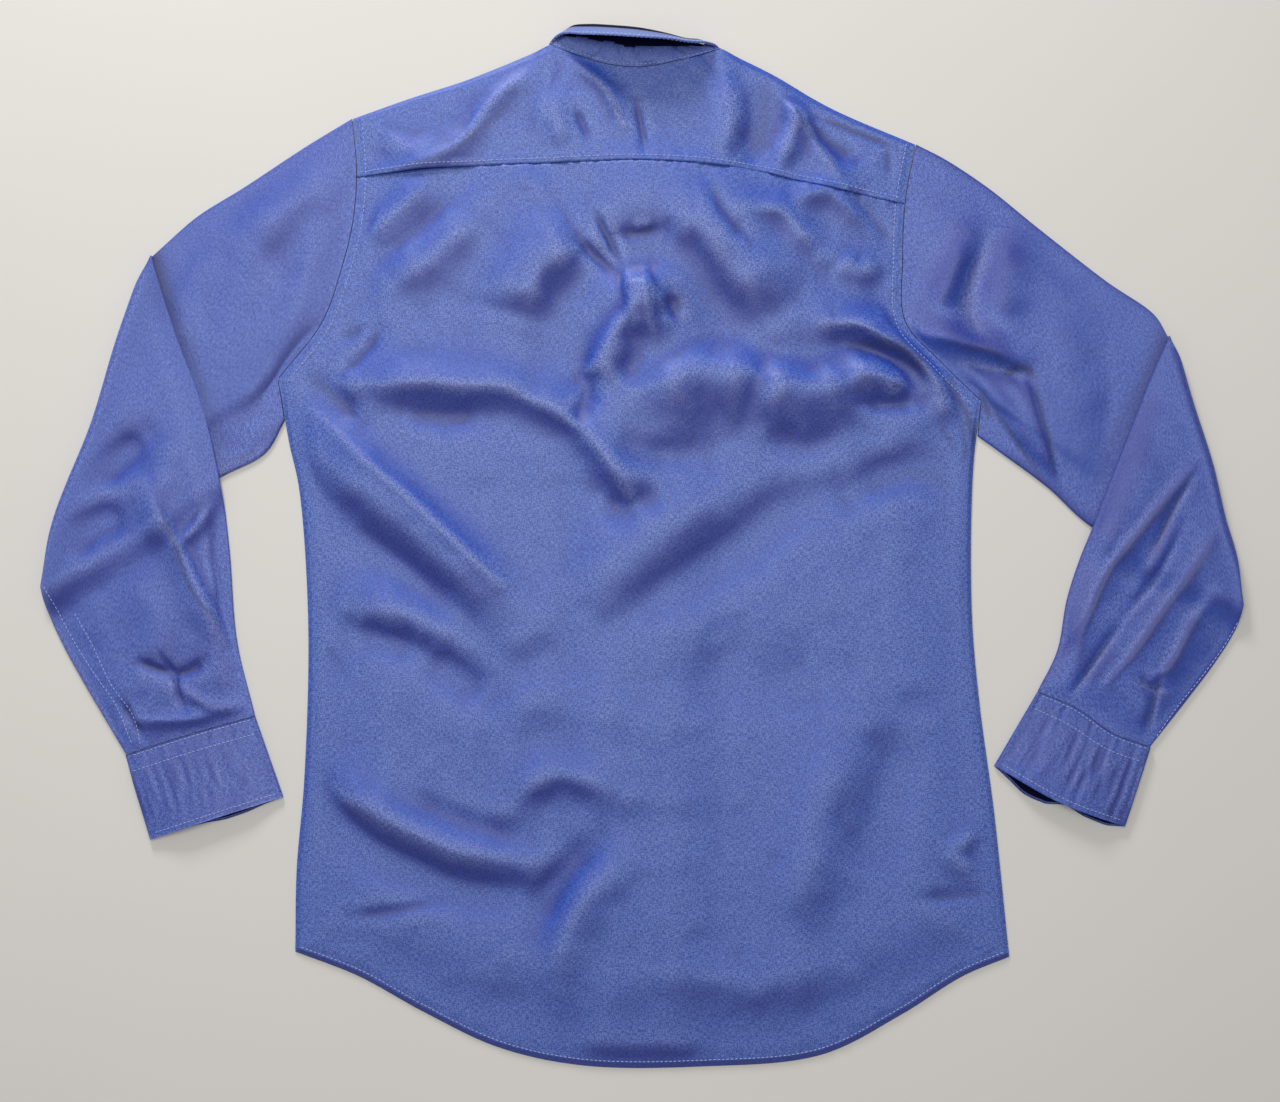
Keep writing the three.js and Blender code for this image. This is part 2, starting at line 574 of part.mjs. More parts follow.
// Each edge runs along the sleeve from the body; the crease and the cuff line run across it,
// from the crown edge to the underarm edge.
const SLEEVES = {
  left: {
    armhole: armholeWithPit(offset(ARMHOLE_LEFT, -SEWN), [-276.2, 98]),
    crown: edge([-222.8, 332], [-259, 310], [-306, 279], [-344, 255], [-377, 225]),
    under: edge([-276.2, 98], [-290, 73], [-325, 54], [-395, 12], [-462, -31]),
    crease: crowded([-377, 225], [-400, 160], [-420, 94], [-440, 45], [-455, 5], [-462, -31]),
    foreCrown: edge([-377, 225], [-360, 169], [-339, 113], [-325, 54], [-318, 0], [-312, -72],
      [-298, -130]),
    foreUnder: edge([-462, -31], [-458, -50], [-447, -75], [-430, -106], [-398, -160]),
    cuffLine: edge([-298, -130], [-348, -144], [-398, -160]),
    hand: edge([-276, -193], [-328, -209], [-379, -226]),
    edgeDir: 1,
    upperFolds: LEFT_UPPER_FOLDS,
    forearmFolds: LEFT_FOREARM_FOLDS,
  },
  right: {
    armhole: armholeWithPit(offset(ARMHOLE_RIGHT, SEWN), [263.2, 86]),
    crown: edge([213.8, 312], [237, 300], [270, 278], [306, 249], [361, 206], [398, 180], [408, 163]),
    under: edge([263.2, 86], [281, 72], [316, 46], [348, 17], [407, -14], [465, -45]),
    crease: crowded([408, 163], [423, 111], [438, 64], [449, 18], [460, -15], [465, -45]),
    foreCrown: edge([408, 163], [397, 138], [380, 94], [350, 17], [331, -38], [323, -80],
      [308, -111]),
    foreUnder: edge([465, -45], [460, -65], [446, -88], [425, -116], [395, -154]),
    cuffLine: edge([308, -111], [338, -124], [365, -143], [395, -154]),
    hand: edge([274, -169], [322, -196], [375, -216]),
    edgeDir: -1,
    upperFolds: RIGHT_UPPER_FOLDS,
    forearmFolds: RIGHT_FOREARM_FOLDS,
  },
};

const TUBE_HIGH = 2 * SLEEVE + HOLLOW;
const SLEEVE_ROUNDING = 0.012; // a sleeve's rounded fold, as a share of its width
const CREASE_TURNS = [0.25, 0.5, 0.75]; // shares of the half turn round the crease
const CREASE_CORNER = 0.06; // share of the crease over which it draws in at each corner
const REST_GAP = 0.8; // a forearm's clearance over its upper sleeve
const LEAVES_AT = 2; // a forearm starts to drop this far past its upper sleeve's edge

// Where trapped air and folds rise and die out, as shares of a sleeve's width, of its upper
// half's length and of its forearm's length.
const SIDE_RISE = { from: 0.02, to: 0.2 };
const UPPER_AIR = { full: 0.2, fades: 0.45, gone: 0.75 };
const FOREARM_AIR = { starts: 0.02, full: 0.2, fades: 0.85 };

// Distance from a place to a line, and the side it is on (above 0 on the left).
function awayFrom(line, x, y, steps = 16) {
  let best = { distance: Infinity };
  for (let k = 0; k < steps; k += 1) {
    const [a, b] = [line[k], line[k + 1]];
    const [dx, dy] = [b.x - a.x, b.y - a.y];
    const share = clamp(((x - a.x) * dx + (y - a.y) * dy) / (dx * dx + dy * dy), 0, 1);
    const [ox, oy] = [x - a.x - share * dx, y - a.y - share * dy];
    const distance = Math.hypot(ox, oy);
    if (distance < best.distance) best = { distance, side: Math.sign(dx * oy - dy * ox) };
  }
  return best;
}

const sampled = (line, steps = 16) => Array.from({ length: steps + 1 }, (_, k) => line(k / steps));

function sleeve(row) {
  const upper = patch({
    top: row.armhole, bottom: row.crease, left: row.crown, right: row.under, grip: PIT_GRIP,
  });
  const forearm = patch({
    top: row.crease, bottom: row.cuffLine, left: row.foreCrown, right: row.foreUnder,
  });
  const creaseLine = sampled(row.crease);
  const underLine = sampled(row.under);
  const nearCrease = (x, y) => 1 - smoothstep(awayFrom(creaseLine, x, y).distance, 0, CREASE_REACH);
  const topShare = (h) => clamp((h - SLEEVE) / HOLLOW, 0, 1);
  const inside = (t) => smoothstep(Math.min(t, 1 - t), SIDE_RISE.from, SIDE_RISE.to);

  // Upper half: its floor side lies flat, its top side carries the folds.
  const upperHeight = (x, y, s, t, h) => {
    const body = smoothstep(s, 0, UPPER_AIR.full)
      * (1 - smoothstep(s, UPPER_AIR.fades, UPPER_AIR.gone));
    const air = body * inside(t) * (SLEEVE_PUFF + foldHeight(row.upperFolds, x, y));
    return h + topShare(h) * (Math.max(0, air) + CREASE_PUFF * nearCrease(x, y));
  };
  const upperPoint = (s, t, h) => {
    const p = upper(t, s);
    return new THREE.Vector3(p.x, p.y, upperHeight(p.x, p.y, s, t, h));
  };

  // Round the crease every layer keeps its distance from the axis.
  const turnPoint = (turn, t, h) => {
    const start = upperPoint(1, t, h);
    const away = offset(row.crease, -row.edgeDir)(t).sub(row.crease(t));
    const radius = CREASE_AXIS - start.z;
    const out = radius * Math.sin(turn * Math.PI)
      * smoothstep(Math.min(t, 1 - t), 0, CREASE_CORNER);
    return new THREE.Vector3(
      start.x + away.x * out,
      start.y + away.y * out,
      CREASE_AXIS - radius * Math.cos(turn * Math.PI));
  };

  // Forearm: upside down on the upper half, then off it and down to the floor.
  const forearmPoint = (s, t, h) => {
    const p = forearm(t, s);
    const { distance, side } = awayFrom(underLine, p.x, p.y);
    const beyond = side * row.edgeDir > 0 ? distance : 0;
    const rest = lerp(TUBE_HIGH + REST_GAP, 2 * CREASE_AXIS - TUBE_HIGH - CREASE_PUFF,
      nearCrease(p.x, p.y));
    const floor = rest * (1 - smoothstep(beyond, LEAVES_AT, DROP));
    const body = smoothstep(s, FOREARM_AIR.starts, FOREARM_AIR.full)
      * (1 - smoothstep(s, FOREARM_AIR.fades, 1));
    const air = body * inside(t) * (SLEEVE_PUFF + foldHeight(row.forearmFolds, p.x, p.y));
    const crest = Math.max(0, air) + CREASE_PUFF * nearCrease(p.x, p.y);
    return new THREE.Vector3(p.x, p.y, floor + TUBE_HIGH - h + (1 - topShare(h)) * crest);
  };

  // Stations: 0 to 1 upper half, 1 to 2 round the crease, 2 to 3 forearm.
  const place = (s, t, h) => {
    if (s <= 1) return upperPoint(s, t, h);
    if (s < 2) return turnPoint(s - 1, t, h);
    return forearmPoint(s - 2, t, h);
  };
  const upperStations = [0, 0.12, 0.26, 0.4, 0.54, 0.68, 0.8, 0.91, 1];
  const forearmStations = shares(12, 1);
  return flatTube({
    stations: [
      ...upperStations,
      ...CREASE_TURNS.map((turn) => 1 + turn),
      ...forearmStations.map((s) => 2 + s),
    ],
    across: SLEEVE_STEPS,
    wall: SLEEVE,
    rounding: SLEEVE_ROUNDING,
    place,
  });
}

// ---------------------------------------------------------------------------------------
// Cuffs
// ---------------------------------------------------------------------------------------

const CUFF_BUTTON = { across: 0.72, along: 0.5 };
const CUFF_LIFT = BUTTON.thick + LAYER;
const CUFF_LIFT_RAMP = { from: 13, to: 30 }; // distances from the button's middle
const CUFF_PUFF = 1.5;
const CUFF_RISE = 0.4; // share of the cuff's height over which the puff rises from the seam
const CUFF_SCALLOP = 0.05; // how far the under layer peeks out at the hand
const CUFF_SEAM = 0.006; // clearance at the sleeve, as a share of the cuff's height
const inMiddle = (t) => smoothstep(Math.min(t, 1 - t), 0, 0.3);

function cuffPlan(row) {
  const seam = (t) => mix(row.cuffLine(t), row.hand(t), CUFF_SEAM);
  return patch({
    top: seam,
    bottom: row.hand,
    left: (s) => mix(seam(0), row.hand(0), s),
    right: (s) => mix(seam(1), row.hand(1), s),
  });
}

const cuffButtonPlace = (row) => cuffPlan(row)(CUFF_BUTTON.across, CUFF_BUTTON.along);

// The under layer reaches a little past the upper one at the hand.
function cuff(row) {
  const outline = cuffPlan(row);
  const button = cuffButtonPlace(row);
  return flatTube({
    stations: [0, 0.12, 0.3, 0.5, 0.7, 0.88, 1],
    across: [0, 0.06, 0.16, 0.28, 0.4, 0.52, 0.62, 0.72, 0.82, 0.92, 1],
    wall: CUFF,
    rounding: 0.016,
    place: (s, t, h) => {
      const under = 1 - clamp((h - CUFF) / HOLLOW, 0, 1);
      const peek = CUFF_SCALLOP * under * Math.abs(Math.sin(2 * Math.PI * t));
      const p = outline(t, s * (1 + peek));
      const lift = CUFF_LIFT * fade(p.distanceTo(button), CUFF_LIFT_RAMP);
      const air = CUFF_PUFF * inMiddle(t) * smoothstep(s, 0, CUFF_RISE) * (1 - under);
      return new THREE.Vector3(p.x, p.y, lift + h + air);
    },
  });
}

// ---------------------------------------------------------------------------------------
// Collar
// ---------------------------------------------------------------------------------------

// The stand is a flat ring: its back half is sewn to the yoke, its front half to the fronts.
// Rows run from the left neck point over the ring to the right one.
const STAND_PUFF = 0.6;
const STAND_BACK_TOP = edge([-52, 400], [-40, 401.5], [-20, 400.5], [0, 398.5], [20, 394.5],
  [36, 390.5], [43, 390]);
const STAND_FRONT_TOP = edge([-52, 400], [-42, 372], [-30, 350], [-16, 336], [-3, 332],
  [10, 335], [22, 348], [34, 368], [43, 390]);

function collarStand() {
  const backHalf = (s, t) => mix(offset(NECK_BACK, 2 * SEAM)(t), STAND_BACK_TOP(t), s);
  const frontHalf = (s, t) => mix(offset(NECK_RING_FRONT, SEAM)(t), STAND_FRONT_TOP(t), s);
  return flatTube({
    stations: [0, 0.35, 0.7, 1],
    across: [0, ...NECK_STEPS, ...NECK_STEPS.slice(0, -1).reverse().map((t) => 1 - t), 1],
    wall: COLLAR,
    rounding: 0.012,
    place: (s, t, h) => {
      const share = clamp((h - COLLAR) / HOLLOW, 0, 1);
      const p = mix(frontHalf(s, t), backHalf(s, t), share);
      return new THREE.Vector3(p.x, p.y, STAND_LIFT + h + share * inMiddle(t) * STAND_PUFF);
    },
  });
}

// The leaf springs up from the stand's top edge across the back, turns down round both neck
// points and ends in two points under the fronts.
const LEAF = [
  // root x, y, z            free x, y, z
  [[-9, 333, 0.9], [-50, 264, 0.9]],
  [[-30, 346, 0.9], [-77, 300, 0.9]],
  [[-44, 366, 0.9], [-87, 338, 0.9]],
  [[-55, 386, 0.9], [-82, 368, 0.9]],
  [[-56, 393, 1.1], [-80, 381, 1.1]],
  [[-57, 399, 2.2], [-76, 391, 2.6]],
  [[-52, 402.5, 4.6], [-60, 394, 14]],
  [[-40, 403.5, 5.4], [-44, 390, 27]],
  [[-20, 402.5, 5.8], [-22, 387, 35]],
  [[0, 400.5, 6.2], [0, 385, 37]],
  [[20, 396.5, 6.2], [21, 384.5, 34]],
  [[36, 392.5, 5.8], [38, 384.5, 26]],
  [[45, 392, 4.8], [52, 387, 14]],
  [[49, 391, 2.2], [69, 388.5, 2.6]],
  [[50, 386, 1.1], [74, 379, 1.1]],
  [[48, 381, 0.9], [77, 364, 0.9]],
  [[38, 366, 0.9], [81, 338, 0.9]],
  [[24, 346, 0.9], [71, 300, 0.9]],
  [[3, 333, 0.9], [44, 264, 0.9]],
];

const collarLeaf = () => ribbon({
  root: LEAF.map(([root]) => root),
  free: LEAF.map(([, tip]) => tip),
  count: 36,
  widths: [0, 0.33, 0.67, 1],
  wall: COLLAR,
});

// ---------------------------------------------------------------------------------------
// Buttons
// ---------------------------------------------------------------------------------------

function button() {
  const { radius, thick, dish, rim } = BUTTON;
  const profile = [
    plan(0, dish), plan(radius - rim, dish), plan(radius - rim / 2, 0), plan(radius, thick / 3),
    plan(radius, thick), plan(0, thick),
  ];
  return new THREE.LatheGeometry(profile, 12).rotateX(Math.PI / 2);
}

// ---------------------------------------------------------------------------------------
// The shirt
// ---------------------------------------------------------------------------------------

const cloth = (color) => new THREE.MeshStandardMaterial({
  color, roughness: 0.85, metalness: 0, side: THREE.FrontSide,
});
const BLUE = cloth(0x5873c4);
const DEEP_BLUE = cloth(0x4a63b6);
const COLLAR_BLUE = cloth(0x6a80cc);
const PEARL = new THREE.MeshStandardMaterial({ color: 0xe6e4dc, roughness: 0.25, metalness: 0 });

const shirt = new THREE.Group();
shirt.position.set(-MIDDLE.x, -MIDDLE.y, 0);

function add(name, geometry, material, position = [0, 0, 0]) {
  const mesh = new THREE.Mesh(geometry, material);
  mesh.name = name;
  mesh.position.set(...position);
  shirt.add(mesh);
}

add('back', back(), BLUE);
add('yoke', yoke(), BLUE);
add('front_left', frontLeft(), BLUE);
add('front_right', frontRight(), BLUE);
add('placket', placket(), BLUE);
for (const [name, row] of Object.entries(SLEEVES)) {
  add(`sleeve_${name}`, sleeve(row), DEEP_BLUE);
  add(`cuff_${name}`, cuff(row), DEEP_BLUE);
  const at = cuffButtonPlace(row);
  add(`cuff_button_${name}`, button(), PEARL, [at.x, at.y, 0]);
}
add('collar_stand', collarStand(), COLLAR_BLUE);
add('collar_leaf', collarLeaf(), COLLAR_BLUE);
add('collar_button', button(), PEARL, [NECK.x, COLLAR_BUTTON_Y, 0]);
for (let i = 0; i < PLACKET_BUTTONS.count; i += 1) {
  const y = PLACKET_BUTTONS.first - i * PLACKET_BUTTONS.spacing;
  add(`placket_button_${i + 1}`, button(), PEARL, [0, y, 0]);
}

export default shirt;
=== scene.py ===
"""A long-sleeved oxford shirt lying flat with its back up, on a plain pale floor.

Each sleeve turns over once on a slanting crease, so that its forearm lies on its upper half.
Lengths are millimetres in the part's own frame (+Y to the collar, +X to the wearer's right);
build() turns them into Blender's metres.
"""

import math

import bmesh
import bpy
import numpy as np
from mathutils import Matrix, Vector
from mathutils.bvhtree import BVHTree


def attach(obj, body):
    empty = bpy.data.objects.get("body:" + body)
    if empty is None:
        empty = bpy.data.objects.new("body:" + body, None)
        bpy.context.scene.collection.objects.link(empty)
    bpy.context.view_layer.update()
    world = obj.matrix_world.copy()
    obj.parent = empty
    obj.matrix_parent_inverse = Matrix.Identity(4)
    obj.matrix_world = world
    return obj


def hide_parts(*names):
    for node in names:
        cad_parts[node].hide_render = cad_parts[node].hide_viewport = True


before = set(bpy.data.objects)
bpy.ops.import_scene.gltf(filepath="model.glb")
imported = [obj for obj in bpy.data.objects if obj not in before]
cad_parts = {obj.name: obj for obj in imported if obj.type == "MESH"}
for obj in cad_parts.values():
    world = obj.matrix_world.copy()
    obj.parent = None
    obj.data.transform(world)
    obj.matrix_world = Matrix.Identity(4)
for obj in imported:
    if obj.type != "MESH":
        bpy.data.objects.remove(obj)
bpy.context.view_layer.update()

# --- Sizes: the part's own, but for narrower seams and rounder ends of the creases ---

MM = 0.001
MIDDLE = np.array([1.55, 0.45])  # middle of the whole shirt in the tables' coordinates

PANEL, YOKE, FRONT, SLEEVE, CUFF, COLLAR = 1.2, 1.4, 1.0, 1.0, 1.4, 1.2  # walls of cloth
SEAM = 0.1  # clearance where two pieces are sewn together
LAYER = 0.35  # clearance between two layers that lie on each other
HOLLOW = 0.6  # air left inside a tube pressed flat

PLACKET_WIDTH = 30
PLACKET_LIFT = 2.3  # underside of the placket, above its buttons
OVERLAP_LIFT = PLACKET_LIFT + FRONT + SEAM  # underside of the right front's edge
LEAF_LIFT = COLLAR + 0.6  # underside of the fronts over the collar's points
STAND_LIFT = 2.5  # underside of the stand's front half
NECK_LIFT = STAND_LIFT + COLLAR - FRONT  # lift of the fronts' level over the stand

BUTTON_RADIUS, BUTTON_THICK = 5.6, 1.9
PLACKET_BUTTONS = [(0, 236 - 90 * i) for i in range(6)]
COLLAR_BUTTON_Y = 316

EDGE_ROLL = 4  # width over which the back curls down round the fronts
FRONT_INSET = 6.5  # how far the fronts' sides and shoulders stay inside the back's
HEM_STEP = 20  # how far the fronts' hem stays inside the back's
PUFF, PUFF_REACH = 4, 70  # height of the air under the back; from there inwards it is whole
FOLDS_RAMP = (2, 26)  # the back's folds rise over these distances from an edge
SOFT = 2.5  # folded cloth that is lower than this over the layer below lies softly on it

CREASE_AXIS = 4.6  # height of the axis that a sleeve turns over on
CREASE_PUFF, CREASE_REACH = 1.2, 32  # extra height of a sleeve next to its crease, and its reach
SLEEVE_PUFF = 3  # air in the middle of a sleeve
CREASE_CORNER = 0.2  # share of the crease over which it draws in at each corner
DROP = 26  # length over which a forearm drops off its upper sleeve
TUBE_HIGH = 2 * SLEEVE + HOLLOW

NECK = np.array([-3, 335])  # middle of the neck hole

# --- Small tools ---


TINY = 1e-6
EDGE_STEPS = 32  # pieces of a smooth line between two of its points
NOISE_CELLS = 256  # cells each way after which noise repeats
LINE_STEPS = 9  # points of a fold's line for each point given
NEARBY = 0.002  # share of a line to either side from which its direction is taken
INSET_AT = np.array([0.2, 0.4, 0.6, 0.8])  # shares of a line at which it is moved inwards
SEARCH_END, SEARCH_STEPS = 0.6, 2001  # part of a line that is searched for a place on it


def lerp(a, b, t):
    return a + (b - a) * t


def smoothstep(x, low, high):
    t = np.clip((x - low) / (high - low), 0, 1)
    return t * t * (3 - 2 * t)


def run_of(line):
    """How far along a line of points each of them is."""
    return np.concatenate([[0], np.cumsum(np.linalg.norm(np.diff(line, axis=0), axis=1))])


def interpolate(t, places, rows):
    """Rows of numbers that are known at some places, read at the places t."""
    return np.stack([np.interp(t, places, rows[:, k]) for k in range(rows.shape[1])], axis=-1)


def spline(*points):
    """A smooth line through its points, read by their own numbering scaled to 0 to 1."""
    p = np.array(points, float)
    p = np.vstack([2 * p[0] - p[1], p, 2 * p[-1] - p[-2]])
    knot = np.maximum(np.linalg.norm(np.diff(p, axis=0), axis=1) ** 0.5, TINY)

    def at(t):
        t = np.clip(np.asarray(t, float), 0, 1) * (len(points) - 1)
        i = np.minimum(t.astype(int), len(points) - 2)
        s = (t - i)[..., None]
        before, a, b, after = p[i], p[i + 1], p[i + 2], p[i + 3]
        d0, d1, d2 = (knot[i + k][..., None] for k in range(3))
        out = d1 * ((a - before) / d0 - (b - before) / (d0 + d1) + (b - a) / d1)
        into = d1 * ((b - a) / d1 - (after - a) / (d1 + d2) + (after - b) / d2)
        return (a * (2 * s**3 - 3 * s**2 + 1) + b * (3 * s**2 - 2 * s**3)
                + out * (s**3 - 2 * s**2 + s) + into * (s**3 - s**2))
    return at


def edge(*points):
    """The same smooth line, read by the share t of its length."""
    line = spline(*points)(np.linspace(0, 1, EDGE_STEPS * (len(points) - 1) + 1))
    share = run_of(line) / run_of(line)[-1]
    return lambda t: interpolate(t, share, line)


def chain(*parts):
    """Several lines end to end, given as (line, the share of the whole that it ends at)."""
    def whole(t):
        t = np.asarray(t, float)
        out, start = None, 0
        for line, until in parts:
            here = line(np.clip((t - start) / (until - start), 0, 1))
            out = here if out is None else np.where((t > start)[..., None], here, out)
            start = until
        return out
    return whole


def part(line, start, end):
    return lambda t: line(lerp(start, end, np.asarray(t, float)))


def turned(line):
    return part(line, 1, 0)


def offset(line, distance, ramp=0):
    """A line moved sideways, to the left of its direction where distance is above 0."""
    def moved(t):
        t = np.asarray(t, float)
        along = line(np.minimum(1, t + NEARBY)) - line(np.maximum(0, t - NEARBY))
        along /= np.linalg.norm(along, axis=-1, keepdims=True)
        away = distance * (smoothstep(t, 0, ramp) if ramp else np.ones_like(t))
        return line(t) + np.stack([-along[..., 1], along[..., 0]], -1) * away[..., None]
    return moved


def inset(line, distance, start, end):
    """A line moved sideways, but starting and ending where it is told to."""
    return edge(start, *offset(line, distance)(INSET_AT), end)


def share_at_x(line, x):
    t = np.linspace(0, SEARCH_END, SEARCH_STEPS)
    return float(t[np.argmin(np.abs(line(t)[:, 0] - x))])


def patch(top, bottom, left, right, grip=1):
    """The plan of a piece between four lines: u along top and bottom, v down the sides."""
    def at(u, v):
        w = v[..., None]
        middle = lerp(top(u), bottom(u), w)
        at_left = left(v) - lerp(top(0 * u), bottom(0 * u), w)
        at_right = right(v) - lerp(top(0 * u + 1), bottom(0 * u + 1), w)
        return (middle + at_left * ((1 - u) ** grip)[..., None]
                + at_right * (u ** grip)[..., None])
    return at


def blur(grid, times):
    """A grid of numbers smoothed over its neighbours."""
    for _ in range(times):
        padded = np.pad(grid, 1, mode="edge")
        rows = (padded[:-2] + 2 * padded[1:-1] + padded[2:]) / 4
        grid = (rows[:, :-2] + 2 * rows[:, 1:-1] + rows[:, 2:]) / 4
    return grid


def noise(x, y, size, seed):
    """Smooth random heights from -1 to 1 with lumps of about the given size."""
    table = np.random.default_rng(seed).uniform(-1, 1, (NOISE_CELLS, NOISE_CELLS))
    x, y = np.asarray(x) / size, np.asarray(y) / size
    i, j = np.floor(x).astype(int), np.floor(y).astype(int)
    fx, fy = x - i, y - j
    fx, fy = fx**3 * (fx * (6 * fx - 15) + 10), fy**3 * (fy * (6 * fy - 15) + 10)
    near = [table[(i + a) % NOISE_CELLS, (j + b) % NOISE_CELLS]
            for a, b in ((0, 0), (1, 0), (0, 1), (1, 1))]
    return lerp(lerp(near[0], near[1], fx), lerp(near[2], near[3], fx), fy)


# --- Folds: ridges (height above 0) and troughs (below 0) along bent lines ---

SOFT_ROLL = [0, 2]  # a fold's skew and form where its row gives none
FOLD_END = 0.35  # a fold's height at its two ends, as a share of its whole height
FOLD_RAMP = 0.3  # share of its line over which it rises from there, and a crease's painted shade darkens
FOLD_FALL = 1.6  # how fast a fold falls away to its sides
FOLD_FADE, CREASE_FADE = 2, 3  # each is gone at this many times its reach


def line_of(points):
    return edge(*points)(np.linspace(0, 1, LINE_STEPS * len(points)))


def folds(*rows):
    """Rows of: the points of a fold's line; half its width; its height; skew, which makes its
    right side steeper; and its crest's form, from 2 for a soft roll towards 1 when pinched."""
    return [(line_of(points), reach, height, *(form + SOFT_ROLL[len(form):]))
            for points, reach, height, *form in rows]


def creases(*rows):
    """Rows of painted shade along a sharp crease: the points of its line; half its width; how dark it
    is, up to 1.
    """
    return [(line_of(points), reach, depth) for points, reach, depth in rows]


def nearest(line, x, y):
    """Distance to a line, the side (1 on the left, -1 on the right) and the share t along it."""
    best, side, where = np.full(x.shape, np.inf), np.zeros(x.shape), np.zeros(x.shape)
    for k in range(len(line) - 1):
        (ax, ay), (dx, dy) = line[k], line[k + 1] - line[k]
        share = np.clip(((x - ax) * dx + (y - ay) * dy) / (dx * dx + dy * dy), 0, 1)
        ox, oy = x - ax - share * dx, y - ay - share * dy
        far = np.hypot(ox, oy)
        closer = far < best
        best = np.where(closer, far, best)
        turned_from = (dx * oy - dy * ox) / (math.hypot(dx, dy) * np.maximum(far, TINY))
        side = np.where(closer, turned_from, side)
        where = np.where(closer, (k + share) / (len(line) - 1), where)
    return best, side, where


def around(line, margin, x, y):
    """Which places are near a line, their distance and side, and their share t's distance from
    its ends, from 0 there to 1 along its middle."""
    low, high = line.min(0) - margin, line.max(0) + margin
    here = (x > low[0]) & (x < high[0]) & (y > low[1]) & (y < high[1])
    far, side, t = nearest(line, x[here], y[here])
    return here, far, side, smoothstep(t, 0, FOLD_RAMP) * smoothstep(1 - t, 0, FOLD_RAMP)


def fold_height(rows, x, y):
    total = np.zeros(x.shape)
    for line, reach, height, skew, sharp in rows:
        here, far, side, ends = around(line, FOLD_FADE * reach * (1 + abs(skew)), x, y)
        spread = far / (reach * (1 + side * skew))
        total[here] += height * lerp(FOLD_END, 1, ends) * np.exp(-FOLD_FALL * spread**sharp)
    return total


def crease_shade(rows, x, y):
    total = np.zeros(x.shape)
    for line, reach, depth in rows:
        here, far, _, ends = around(line, CREASE_FADE * reach, x, y)
        total[here] = np.maximum(total[here], depth * ends * np.exp(-((far / reach) ** 2)))
    return total


